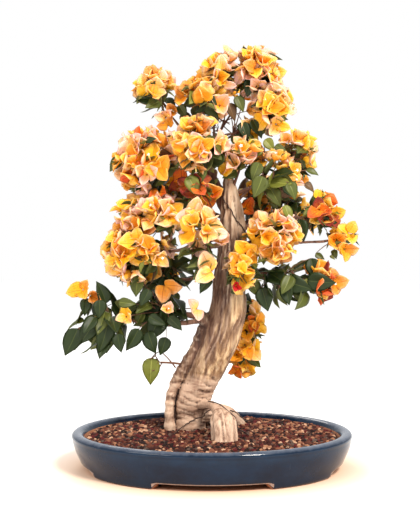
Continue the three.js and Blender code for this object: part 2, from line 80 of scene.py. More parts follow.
Colour = tuple[int, int, int]
Point = tuple[float, float, float]
Array = np.ndarray
BladeShape = tuple[Array, Array, Array]
Material = bpy.types.Material
Socket = bpy.types.NodeSocket
Inputs = dict[int | str, object]
Swell = Callable[[float, float, Array], float]


# Vectors and noise


def unit(vector: Array) -> Array:
    """Scales a vector to length 1."""
    return vector / max(float(np.linalg.norm(vector)), 1e-9)


def linear(colour: Colour) -> tuple[float, float, float, float]:
    """Turns a screen colour of 0 to 255 into a linear colour with full alpha."""
    parts = [c / 255.0 for c in colour]
    return (*(p / 12.92 if p <= 0.04045 else ((p + 0.055) / 1.055) ** 2.4 for p in parts), 1.0)


def wander(point: Sequence[float], scale: float, seed: float = 0.0) -> float:
    """Smooth noise from -1 to 1 at a place, with features about as large as scale."""
    x, y, z = (part / scale for part in point)
    return noise.noise(Vector((x + seed, y - seed, z + 2.0 * seed)))


def smoothstep(low: float, high: float, value: float) -> float:
    """Rises smoothly from 0 at low to 1 at high."""
    t = min(max((value - low) / (high - low), 0.0), 1.0)
    return t * t * (3.0 - 2.0 * t)


def bowed(start: Array, middle: Array, end: Array, count: int) -> Array:
    """Gives count places along a bow from start to end that is drawn toward a middle."""
    shares = np.linspace(0.0, 1.0, count)[:, None]
    return start * (1 - shares) ** 2 + 2 * middle * shares * (1 - shares) + end * shares**2


def nearest(places: list[Array], point: Array) -> float:
    """The distance from a point to the nearest of some places, or infinity where there are none."""
    return float(np.linalg.norm(np.array(places) - point, axis=1).min()) if places else math.inf


def claim(taken: list[Array], point: Array, room: float) -> bool:
    """Takes a place where nothing of its kind is too close.

    Args:
        taken: the places of its kind so far.
        point: the place.
        room: the least distance to the others.

    Returns:
        Whether the place was free.
    """
    free = nearest(taken, point) >= room
    if free:
        taken.append(point)
    return free


def spiral(count: int, turn: float) -> list[Array]:
    """Spreads directions evenly on a golden spiral.

    Args:
        count: how many.
        turn: the angle of the first.

    Returns:
        The directions from the top down.
    """
    ways = []
    for i in range(count):
        height = 1 - (2 * i + 1) / count
        ring = math.sqrt(1 - height * height)
        angle = GOLDEN_ANGLE * i + turn
        ways.append(np.array([ring * math.cos(angle), ring * math.sin(angle), height]))
    return ways


# Meshes


class PieceBuilder:
    """Collects the vertices and faces of many small things into one mesh."""

    def __init__(self) -> None:
        """Starts with nothing."""
        self.points: list[Array] = []
        self.faces: list[tuple[Array, Array]] = []
        self.count = 0

    def add(self, points: Array, faces: Array, slots: Array | int = 0) -> None:
        """Adds one small thing.

        Args:
            points: its corners in millimetres, one row each.
            faces: its faces as rows of corner numbers, all with the same number of corners.
            slots: the material slot of each face, or one for all.
        """
        self.points.append(np.asarray(points, float))
        self.add_faces(faces, slots, self.count)
        self.count += len(points)

    def add_faces(self, faces: Array, slots: Array | int, first: int) -> None:
        """Adds faces on corners that are already there, counted from first."""
        rows = np.asarray(faces, int) + first
        self.faces.append((rows, np.broadcast_to(np.asarray(slots, int), (len(rows),))))

    def build(self, name: str, materials: Sequence[Material], smooth: bool = True) -> bpy.types.Object:
        """Makes the mesh object.

        Args:
            name: the piece's name.
            materials: its material slots in order.
            smooth: whether its faces are shaded smooth.

        Returns:
            The new object, linked to the scene.
        """
        mesh = bpy.data.meshes.new(name)
        points = np.concatenate(self.points) * MM
        corners = np.concatenate([rows.ravel() for rows, _ in self.faces])
        sizes = np.concatenate([np.full(len(rows), rows.shape[1]) for rows, _ in self.faces])
        starts = np.concatenate(([0], np.cumsum(sizes)[:-1]))
        mesh.vertices.add(len(points))
        mesh.vertices.foreach_set("co", points.astype(np.float32).ravel())
        mesh.loops.add(len(corners))
        mesh.loops.foreach_set("vertex_index", corners.astype(np.int32))
        mesh.polygons.add(len(sizes))
        mesh.polygons.foreach_set("loop_start", starts.astype(np.int32))
        slots = np.concatenate([slots for _, slots in self.faces])
        mesh.polygons.foreach_set("material_index", slots.astype(np.int32))
        mesh.polygons.foreach_set("use_smooth", np.full(len(sizes), smooth))
        for material in materials:
            mesh.materials.append(material)
        mesh.update(calc_edges=True)
        mesh.validate()
        piece = bpy.data.objects.new(name, mesh)
        bpy.context.scene.collection.objects.link(piece)
        return piece


def settle(piece: bpy.types.Object, nodes: Iterable[str] = ()) -> None:
    """Rides a piece on the plant's body, hides the solids it stands for and logs its faces and how many it
    replaces.

    Args:
        piece: the finished piece.
        nodes: the solids that it replaces.
    """
    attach(piece, BODY)
    names = list(nodes)
    if names:
        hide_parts(*names)
    LOG.info("%s: %d faces, replaces %d solids", piece.name, len(piece.data.polygons), len(names))


def close_rings(
    builder: PieceBuilder,
    corners: Sequence[Sequence[float]],
    around: int,
    ends: Sequence[Sequence[float]],
    slots: Array | int = 0,
    end_slot: int = 0,
) -> None:
    """Adds rings of corners as one closed skin, with a fan of faces over each end.

    Args:
        builder: what it is added to.
        corners: the corners, ring by ring.
        around: how many corners a ring has.
        ends: the middles of the two fans.
        slots: the material slot of each face between the rings, or one for all.
        end_slot: the material slot of the fans.
    """
    count = len(corners)
    number = np.arange(count).reshape(-1, around)
    ahead = np.roll(number, -1, axis=1)
    quads = np.stack([number[:-1], ahead[:-1], ahead[1:], number[1:]], axis=-1).reshape(-1, 4)
    first = builder.count
    builder.add(np.array([*corners, *ends]), quads, slots)
    low = np.stack([np.full(around, count), ahead[0], number[0]], axis=-1)
    high = np.stack([np.full(around, count + 1), number[-1], ahead[-1]], axis=-1)
    builder.add_faces(np.concatenate([low, high]), end_slot, first)


def tube(
    builder: PieceBuilder, points: Array, radii: Array, sides: int, slot: int = 0, swell: Swell | None = None
) -> None:
    """Adds a closed tapering tube along points.

    Args:
        builder: what it is added to.
        points: its middle line, one row each.
        radii: its radius at each point.
        sides: how many sides it has.
        slot: its material slot.
        swell: gives the millimetres to add at (angle, share of the length, place).
    """
    count = len(points)
    across = np.array([1.0, 0.0, 0.0])
    rings = []
    for i in range(count):
        along = unit(points[min(i + 1, count - 1)] - points[max(i - 1, 0)])
        if i == 0 and abs(along[0]) > 0.9:
            across = np.array([0.0, 1.0, 0.0])
        across = unit(across - along * float(across @ along))
        over = np.cross(along, across)
        for k in range(sides):
            angle = math.tau * k / sides
            ray = across * math.cos(angle) + over * math.sin(angle)
            place = points[i] + ray * radii[i]
            if swell is not None:
                place = place + ray * swell(angle, i / (count - 1), place)
            rings.append(place)
    close_rings(builder, rings, sides, (points[0], points[-1]), slot, slot)


# Finishes


def blank_material(name: str) -> tuple[Material, bpy.types.ShaderNode]:
    """Makes a node material.

    Args:
        name: the finish's name.

    Returns:
        The material and its main shader.
    """
    material = bpy.data.materials.new(name)
    material.use_nodes = True
    shader = next(n for n in material.node_tree.nodes if n.type == "BSDF_PRINCIPLED")
    return material, shader


class NodeDesk:
    """Adds and joins the nodes of one material."""

    def __init__(self, material: Material) -> None:
        """Works on a material's tree."""
        self.tree = material.node_tree
        self.place = self.add("ShaderNodeTexCoord", {}).outputs["Object"]

    def fill(self, node: bpy.types.ShaderNode, inputs: Inputs) -> None:
        """Links sockets to a node's inputs and sets constants on them.

        Args:
            node: the node.
            inputs: the socket or constant of each input, by its name or number.
        """
        for key, value in inputs.items():
            if isinstance(value, Socket):
                self.tree.links.new(value, node.inputs[key])
            else:
                node.inputs[key].default_value = value

    def add(self, kind: str, inputs: Inputs, **settings: str) -> bpy.types.ShaderNode:
        """Adds a node.

        Args:
            kind: its type.
            inputs: the socket or constant of each input, by its name or number.
            settings: its properties by name.

        Returns:
            The new node.
        """
        node = self.tree.nodes.new(kind)
        for key, value in settings.items():
            setattr(node, key, value)
        self.fill(node, inputs)
        return node

    def stretched(self, scale: Point) -> Socket:
        """The object's own coordinates, multiplied by scale."""
        return self.add("ShaderNodeMapping", {"Vector": self.place, "Scale": scale}).outputs["Vector"]

    def cloud(self, scale: Point, detail: float, rough: float) -> Socket:
        """Cloudy noise from 0 to 1 with scale features a metre along each axis."""
        inputs = {"Vector": self.stretched(scale), "Scale": 1.0, "Detail": detail, "Roughness": rough}
        return self.add("ShaderNodeTexNoise", inputs).outputs["Fac"]

    def ramp(self, value: Socket, stops: Sequence[tuple[float, Colour]]) -> Socket:
        """Lays colours along a value.

        Args:
            value: the value.
            stops: where each colour is reached.

        Returns:
            The colour.
        """
        node = self.add("ShaderNodeValToRGB", {"Fac": value})
        elements = node.color_ramp.elements
        while len(elements) < len(stops):
            elements.new(0.5)
        for element, (place, colour) in zip(elements, stops):
            element.position = place
            element.color = linear(colour)
        return node.outputs["Color"]

    def blend(self, share: Socket, first: Socket, second: Socket) -> Socket:
        """Mixes two colours by a share from 0 to 1."""
        return self.add("ShaderNodeMix", {0: share, 6: first, 7: second}, data_type="RGBA").outputs[2]

    def span(self, value: Socket, low: float, high: float, to: tuple[float, float]) -> Socket:
        """Carries a value's span from low to high over to another."""
        inputs = {"Value": value, "From Min": low, "From Max": high, "To Min": to[0], "To Max": to[1]}
        return self.add("ShaderNodeMapRange", inputs).outputs["Result"]

    def combine(self, way: str, first: Socket, second: Socket) -> Socket:
        """Works one value out of two."""
        return self.add("ShaderNodeMath", {0: first, 1: second}, operation=way).outputs[0]

    def part(self, vector: Socket, axis: str) -> Socket:
        """One part of a vector, by the letter of its axis."""
        return self.add("ShaderNodeSeparateXYZ", {"Vector": vector}).outputs[axis]

    def height(self) -> Socket:
        """The height above the standing plane in metres."""
        return self.part(self.place, "Z")

    def bump(self, value: Socket, strength: float, depth: float) -> Socket:
        """A normal that is bumped by a value, to a depth in metres."""
        inputs = {"Height": value, "Strength": strength, "Distance": depth}
        return self.add("ShaderNodeBump", inputs).outputs["Normal"]


@dataclass(frozen=True)
class BladeFinish:
    """A thin living finish of one plain colour, for bracts, leaves, flowers and twigs."""

    name: str
    colour: Colour
    roughness: float = 0.6
    specular: float = 0.25
    glow: float = 0.0
    glow_tint: Point = (1.0, 0.6, 0.3)
    glow_depth: float = 0.003

    def material(self) -> Material:
        """Makes the material; glow is how far light passes through the blade.

        Returns:
            The material.
        """
        material, shader = blank_material(self.name)
        shader.inputs["Base Color"].default_value = linear(self.colour)
        shader.inputs["Roughness"].default_value = self.roughness
        shader.inputs["Specular IOR Level"].default_value = self.specular
        if self.glow > 0.0:
            shader.inputs["Subsurface Weight"].default_value = self.glow
            shader.inputs["Subsurface Radius"].default_value = self.glow_tint
            shader.inputs["Subsurface Scale"].default_value = self.glow_depth
        return material


@dataclass(frozen=True)
class BarkFinish:
    """Smooth tan bark with brown streaks along the wood and darker folds."""

    name: str
    pale: Colour = (196, 160, 130)
    tan: Colour = (146, 106, 80)
    brown: Colour = (84, 52, 40)
    dark: Colour = (36, 22, 18)
    roughness: float = 0.72

    def material(self) -> Material:
        """Makes the material.

        Returns:
            The material.
        """
        material, shader = blank_material(self.name)
        desk = NodeDesk(material)
        streaks = desk.cloud((130.0, 130.0, 16.0), 8.0, 0.65)
        tones = (self.brown, self.tan, self.pale, self.pale, self.tan)
        colour = desk.ramp(streaks, list(zip((0.32, 0.43, 0.52, 0.62, 0.74), tones)))
        patches = desk.cloud((26.0, 26.0, 11.0), 5.0, 0.55)
        stains = desk.ramp(patches, [(0.36, self.brown), (0.5, self.tan), (0.64, self.pale)])
        colour = desk.blend(desk.span(patches, 0.56, 0.4, (0.0, 0.7)), colour, stains)
        geometry = desk.add("ShaderNodeNewGeometry", {})
        folds = desk.span(geometry.outputs["Pointiness"], 0.455, 0.497, (0.85, 0.0))
        pits = desk.ramp(patches, [(0.3, self.dark), (0.7, self.brown)])
        colour = desk.blend(folds, colour, pits)
        sheen = desk.span(streaks, 0.3, 0.7, (self.roughness + 0.1, self.roughness - 0.12))
        grain = desk.bump(desk.cloud((420.0, 420.0, 90.0), 6.0, 0.6), 0.35, 0.0008)
        desk.fill(shader, {"Base Color": colour, "Roughness": sheen, "Normal": grain})
        shader.inputs["Specular IOR Level"].default_value = 0.3
        return material


@dataclass(frozen=True)
class TrunkFinish:
    """The trunk's bark: a pale foot, painted shade over brown stains on the left side, a brown side stem, a
    tan right side and a top painted paler as a highlight.

    Heights and edges are in metres, as the material sees them.
    """

    name: str = "trunk_bark"
    foot: tuple[Colour, ...] = ((88, 61, 47), (152, 119, 98), (198, 166, 142))
    upper: tuple[Colour, ...] = ((94, 64, 44), (155, 118, 83), (214, 181, 140))
    # Colours of the paler top, a painted highlight.
    top: tuple[Colour, ...] = ((122, 93, 74), (184, 152, 122), (230, 206, 178))
    # Dark bark for random stains and for the painted shade on the left side.
    stain_and_shade: tuple[Colour, ...] = ((54, 33, 26), (88, 58, 44), (122, 92, 72))
    pits: tuple[Colour, ...] = ((34, 20, 16), (84, 54, 42))
    # Painted highlight on the crests of the relief.
    crest_highlight_colour: Colour = (228, 206, 180)
    knob_edge: float = -0.012
    # How strongly shade is painted on the left side, by height in metres.
    left_shade_heights: tuple[tuple[float, float], ...] = (
        (0.112, 0.0), (0.124, 0.5), (0.15, 0.8), (0.172, 1.0), (0.204, 1.0), (0.228, 0.6), (0.3, 0.7),
        (0.33, 0.9), (0.355, 0.85), (0.375, 0.4),
    )
    stem_lean: float = 0.555
    stem_edge: float = -0.102
    roughness: float = 0.7

    def flank(self, desk: NodeDesk, normal: Socket, left: float, right: float) -> Socket:
        """The left side, where shade is painted, from 0 to 1: in full where the normal's X is below left, and
        none above right.
        """
        return desk.span(desk.part(normal, "X"), left, right, (1.0, 0.0))

    def upper_stem(self, desk: NodeDesk, up: Socket) -> Socket:
        """Marks the side stem above its pale foot.

        Args:
            desk: where the nodes are laid out.
            up: the share of the stained height.

        Returns:
            How far a place is on the stem, from 0 to 1.
        """
        inputs = {0: desk.place, 1: (1.0, 0.0, -self.stem_lean)}
        across = desk.add("ShaderNodeVectorMath", inputs, operation="DOT_PRODUCT")
        stem = desk.span(across.outputs["Value"], self.stem_edge + 0.003, self.stem_edge - 0.003, (0.0, 0.92))
        return desk.combine("MULTIPLY", stem, desk.span(up, 0.0, 0.05, (0.0, 1.0)))

    def knob(self, desk: NodeDesk) -> Socket:
        """How far a place is on the front root's knob, from 0 to 1."""
        return desk.span(desk.part(desk.place, "Y"), self.knob_edge, self.knob_edge - 0.01, (0.0, 1.0))

    def material(self) -> Material:
        """Makes the material.

        Returns:
            The material.
        """
        material, shader = blank_material(self.name)
        desk = NodeDesk(material)
        streaks = desk.cloud((130.0, 130.0, 16.0), 8.0, 0.65)
        patches = desk.cloud((30.0, 30.0, 14.0), 5.0, 0.6)
        rings = desk.cloud((34.0, 34.0, 120.0), 6.0, 0.6)
        bands = desk.cloud((56.0, 56.0, 8.0), 3.0, 0.5)
        high = desk.ramp(streaks, list(zip((0.37, 0.49, 0.61), self.upper)))
        broad = desk.ramp(streaks, list(zip((0.36, 0.5, 0.66), self.stain_and_shade)))
        high = desk.blend(desk.span(bands, 0.5, 0.36, (0.0, 0.7)), high, broad)
        low = desk.ramp(rings, list(zip((0.32, 0.44, 0.56), self.foot)))
        low = desk.blend(self.knob(desk), low, desk.ramp(streaks, list(zip((0.3, 0.42, 0.54), self.foot))))
        geometry = desk.add("ShaderNodeNewGeometry", {})
        lowest, highest = self.left_shade_heights[0][0], self.left_shade_heights[-1][0]
        stops = []
        for height, share in self.left_shade_heights:
            grey = round(255 * share**0.45)
            stops.append(((height - lowest) / (highest - lowest), (grey, grey, grey)))
        up = desk.span(desk.height(), lowest, highest, (0.0, 1.0))
        # Painted shade: the left-facing side is blended toward the dark bark, more at some heights; the side
        # stem's own brown joins in.
        flank = self.flank(desk, geometry.outputs["Normal"], -0.2, 0.36)
        shaded = desk.combine("MULTIPLY", flank, desk.ramp(up, stops))
        shaded = desk.combine("MULTIPLY", shaded, desk.span(patches, 0.66, 0.46, (0.5, 1.0)))
        shaded = desk.combine("MAXIMUM", shaded, self.upper_stem(desk, up))
        colour = desk.blend(desk.span(up, 0.0, 0.06, (0.0, 1.0)), low, high)
        colour = desk.blend(shaded, colour, broad)
        # Painted highlight: the top is paler, except on the shaded left side.
        pale = desk.ramp(desk.cloud((70.0, 70.0, 12.0), 6.0, 0.6), list(zip((0.34, 0.46, 0.6), self.top)))
        away = desk.span(self.flank(desk, geometry.outputs["Normal"], -0.65, -0.05), 0.0, 1.0, (1.0, 0.12))
        lit = desk.combine("MULTIPLY", desk.span(desk.height(), 0.31, 0.345, (0.0, 0.9)), away)
        colour = desk.blend(lit, colour, pale)
        folds = desk.span(geometry.outputs["Pointiness"], 0.45, 0.494, (0.88, 0.0))
        colour = desk.blend(folds, colour, desk.ramp(patches, list(zip((0.3, 0.7), self.pits))))
        # Painted highlight: paler colour on the sharp crests of the relief.
        crest_highlight_mask = desk.span(geometry.outputs["Pointiness"], 0.507, 0.55, (0.0, 0.6))
        colour = desk.blend(crest_highlight_mask, colour, desk.ramp(patches, [(0.4, self.crest_highlight_colour), (0.6, self.foot[2])]))
        sheen = desk.span(streaks, 0.3, 0.7, (self.roughness + 0.1, self.roughness - 0.14))
        grain = desk.bump(desk.cloud((420.0, 420.0, 90.0), 6.0, 0.6), 0.35, 0.0008)
        desk.fill(shader, {"Base Color": colour, "Roughness": sheen, "Normal": grain})
        shader.inputs["Specular IOR Level"].default_value = 0.35
        return material


@dataclass(frozen=True)
class GlazeFinish:
    """Dark navy gloss glaze, painted paler over the lip as a reflection."""

    name: str = "navy_glaze"
    deep: Colour = (5, 21, 39)
    blue: Colour = (9, 33, 55)
    # The lip's paler colour, a painted reflection.
    thin: Colour = (76, 86, 102)
    roughness: float = 0.14

    def material(self) -> Material:
        """Makes the material.

        Returns:
            The material.
        """
        material, shader = blank_material(self.name)
        desk = NodeDesk(material)
        cloudy = desk.cloud((26.0, 26.0, 40.0), 5.0, 0.6)
        colour = desk.ramp(cloudy, [(0.35, self.deep), (0.65, self.blue)])
        runs = desk.cloud((120.0, 120.0, 24.0), 4.0, 0.5)
        # Painted reflection: the glaze is paler near the top of the lip.
        lifted = desk.add("ShaderNodeMath", {0: runs, 1: 0.004, 2: desk.height()}, operation="MULTIPLY_ADD")
        lip = desk.span(lifted.outputs[0], 0.0485, 0.0525, (0.0, 0.85))
        pale = desk.ramp(cloudy, [(0.3, self.thin), (0.7, (108, 112, 122))])
        colour = desk.blend(lip, colour, pale)
        sheen = desk.span(runs, 0.3, 0.7, (self.roughness, self.roughness + 0.14))
        ripples = desk.bump(desk.cloud((260.0, 260.0, 260.0), 3.0, 0.5), 0.08, 0.0006)
        coat = {"Coat Weight": 0.4, "Coat Roughness": 0.06, "Coat Tint": linear((240, 246, 255))}
        desk.fill(shader, {"Base Color": colour, "Roughness": sheen, "Normal": ripples})
        shader.inputs["Specular IOR Level"].default_value = 0.08
        desk.fill(shader, coat)
        return material


@dataclass(frozen=True)
class ClayFinish:
    """Bare fired clay, where the glaze stops."""

    name: str = "bare_clay"
    light: Colour = (176, 118, 82)
    dark: Colour = (112, 66, 46)
    roughness: float = 0.85

    def material(self) -> Material:
        """Makes the material.

        Returns:
            The material.
        """
        material, shader = blank_material(self.name)
        desk = NodeDesk(material)
        grain = desk.cloud((300.0, 300.0, 300.0), 6.0, 0.7)
        colour = desk.ramp(grain, [(0.3, self.dark), (0.65, self.light)])
        rough = desk.bump(grain, 0.4, 0.0005)
        desk.fill(shader, {"Base Color": colour, "Roughness": self.roughness, "Normal": rough})
        return material


class Tint(Enum):
    """The tints that blossoms come in, two of them darker copies that paint shade."""

    GOLD = "gold"
    AMBER = "amber"
    PEACH = "peach"
    BLUSH = "blush"
    EMBER = "ember"
    RUST = "rust"
    SCARLET = "scarlet"
    OCHRE = "ochre"


class Green(Enum):
    """The tints that leaves come in."""

    DARK = "dark"
    MIDDLE = "middle"
    FRESH = "fresh"
    BRONZE = "bronze"


# From the throat outward, then the midrib.
BRACT_COLOURS: dict[Tint, tuple[Colour, ...]] = {
    Tint.GOLD: ((226, 149, 21), (235, 161, 26), (238, 167, 39),
                (239, 174, 63), (239, 181, 96), (208, 130, 32)),
    Tint.AMBER: ((223, 143, 22), (230, 144, 26), (230, 140, 32),
                 (230, 146, 50), (230, 155, 74), (190, 104, 28)),
    Tint.PEACH: ((238, 167, 47), (240, 172, 72), (240, 176, 99),
                 (239, 181, 125), (238, 185, 147), (213, 140, 77)),
    Tint.BLUSH: ((240, 174, 75), (240, 175, 107), (239, 177, 135),
                 (238, 179, 155), (235, 180, 165), (214, 144, 105)),
    Tint.EMBER: ((234, 142, 28), (228, 118, 24), (218, 102, 28),
                 (206, 90, 36), (194, 80, 44), (150, 62, 26)),
    # A darker ember, painted shade.
    Tint.RUST: ((180, 90, 28), (160, 72, 28), (142, 58, 32),
                (126, 46, 34), (104, 36, 34), (88, 34, 26)),
    Tint.SCARLET: ((208, 60, 30), (202, 40, 32), (190, 28, 32),
                   (176, 26, 32), (160, 24, 32), (128, 20, 26)),
    # A darker gold, painted shade.
    Tint.OCHRE: ((206, 128, 28), (204, 126, 36), (200, 122, 46),
                 (202, 130, 68), (206, 142, 92), (150, 86, 30)),
}
# Upper face, midrib, lower face.
LEAF_COLOURS: dict[Green, tuple[Colour, ...]] = {
    Green.DARK: ((32, 44, 17), (57, 67, 27), (68, 77, 39)),
    Green.MIDDLE: ((70, 76, 30), (102, 108, 48), (98, 102, 56)),
    Green.FRESH: ((102, 105, 40), (140, 141, 70), (120, 124, 66)),
    Green.BRONZE: ((84, 62, 38), (114, 84, 52), (100, 76, 54)),
}


# The plant's plan, as in the solids


@dataclass
class Limb:
    """A limb's middle line through given places, with its radius at each."""

    places: list[Point]
    radii: list[float]
    steps: int = 8

    def point(self, share: float) -> Array:
        """Finds a place on the smooth line.

        Args:
            share: the share of the line, counted over the given places.

        Returns:
            The place.
        """
        places = [np.array(p, float) for p in self.places]
        last = len(places) - 1
        index = min(int(share * last), last - 1)
        local = share * last - index
        p1, p2 = places[index], places[index + 1]
        p0 = places[index - 1] if index > 0 else 2 * p1 - p2
        p3 = places[index + 2] if index + 2 <= last else 2 * p2 - p1
        d0, d1, d2 = (float(np.linalg.norm(b - a)) ** 0.5 for a, b in ((p0, p1), (p1, p2), (p2, p3)))
        t1 = ((p1 - p0) / d0 - (p2 - p0) / (d0 + d1) + (p2 - p1) / d1) * d1
        t2 = ((p2 - p1) / d1 - (p3 - p1) / (d1 + d2) + (p3 - p2) / d2) * d1
        square = -3 * p1 + 3 * p2 - 2 * t1 - t2
        cube = 2 * p1 - 2 * p2 + t1 + t2
        return p1 + t1 * local + square * local**2 + cube * local**3

    def radius(self, share: float) -> float:
        """The radius at a share of the line."""
        return float(np.interp(share * (len(self.radii) - 1), range(len(self.radii)), self.radii))

    def line(self, count: int) -> tuple[Array, Array]:
        """Evenly stepped places and radii along the limb."""
        shares = np.linspace(0.0, 1.0, count)
        return np.array([self.point(s) for s in shares]), np.array([self.radius(s) for s in shares])

    def station(self, share: float) -> tuple[Array, float]:
        """The place and radius at the step nearest to a share, where a bough leaves."""
        at = round(share * self.steps) / self.steps
        return self.point(at), self.radius(at)


TRUNK = Limb(
    [
        (-31, 32, 40), (-29, 30, 70), (-25, 28, 88), (-18, 25, 108), (-7, 20, 135), (8, 16, 167),
        (19, 14, 204), (23, 13, 240), (26, 12, 278), (28, 10, 308), (27, 8, 333), (25, 5, 357), (22, 2, 389),
    ],
    [22, 21, 21, 22, 24, 26, 25, 23, 22, 20, 18, 14, 8],
    18,
)
SIDE_STEM = Limb(
    [
        (-56, 14, 40), (-58, 14, 72), (-56, 14, 93), (-48, 14, 115), (-39, 14, 132), (-22, 14, 158),
        (-12, 14, 181), (2, 14, 205),
    ],
    [10, 8, 8, 9, 9, 10, 11, 11],
    10,
)
STUB = Limb([(6, 12, 188), (-10, 9, 199), (-20, 6, 207)], [12, 10, 8], 4)
ROOTS = [
    Limb([(-18, 18, 82), (1, -6, 84), (10, -27, 77), (14, -42, 66), (17, -54, 40)], [10, 8, 12, 18, 19]),
    Limb([(-14, 24, 70), (18, 36, 66), (42, 66, 40)], [13, 12, 11]),
    Limb([(-36, 34, 62), (-50, 57, 50), (-60, 74, 38)], [16, 13, 11]),
    Limb([(-28, 38, 62), (-14, 62, 50), (-8, 80, 38)], [16, 13, 11]),
]
# The wood between the side stem and the trunk.
WEB = Limb([(-52, 26, 42), (-52, 26, 72), (-49, 25, 95), (-40, 22, 118), (-28, 18, 138)], [6, 6, 6, 6, 6])
LEADER = Limb([(24, 8, 345), (10, 22, 372), (-2, 25, 396), (-5, 20, 420), (5, 14, 447)], [11, 9.5, 8, 7, 5.5])
LIMBS = {"trunk": TRUNK, "side_stem": SIDE_STEM, "stub": STUB, "leader": LEADER}


class Mood(Enum):
    """How the tints are shared out in a mass: the weight of each, in the order of Tint."""

    SUNNY = (7, 2, 4, 2, 0, 0, 0, 0)
    PEACHY = (4, 2, 5, 4, 0, 0, 0, 0)
    WARM = (6, 4, 3, 1, 0, 0, 0, 1)
    DEEP = (1, 5, 1, 0, 5, 1, 0, 1)
    SHADED = (0, 2, 0, 0, 4, 4, 1, 0)
    MIXED = (4, 4, 3, 5, 0, 0, 0, 0)
    VIVID = (6, 4, 3, 0, 1, 0, 0, 0)

    @property
    def ladder(self) -> list[Tint]:
        """The tints that a blossom deepens through in shade.

        Returns:
            The tints from pale to painted shade, with the darkest red-brown only in deep and shaded masses.
        """
        if self in (Mood.DEEP, Mood.SHADED):
            return [Tint.PEACH, Tint.GOLD, Tint.AMBER, Tint.EMBER, Tint.RUST]
        if self is Mood.MIXED:
            return [Tint.BLUSH, Tint.PEACH, Tint.GOLD, Tint.AMBER, Tint.EMBER]
        if self is Mood.VIVID:
            return [Tint.BLUSH, Tint.PEACH, Tint.GOLD, Tint.AMBER]
        return [Tint.BLUSH, Tint.PEACH, Tint.GOLD, Tint.AMBER, Tint.OCHRE]


@dataclass(frozen=True)
class Mass:
    """A mass of foliage: its space, its share of flowering shoots, its bough and its tints."""

    name: str
    centre: Point
    reach: Point
    bloom: float
    shoots: int
    limb: str
    at: float
    thick: float
    rise: float
    mood: Mood
    leaf_room: float = 12.5

    @property
    def leafy(self) -> bool:
        """Whether it is nearly all leaves."""
        return self.bloom < 0.2

    @property
    def low(self) -> bool:
        """Whether it is one of the low masses."""
        return self.centre[2] < 260.0

    @property
    def droop(self) -> float:
        """How far its leaves hang: more in the low leafy masses."""
        return 1.0 if self.leafy and self.low else 0.5

    @property
    def part(self) -> str:
        """The part of the crown that it is gathered in."""
        side = "left" if self.centre[0] < 0.0 else "right"
        return "back" if self.centre[1] > 60.0 else f"top_{side}" if self.centre[2] > 400.0 else side


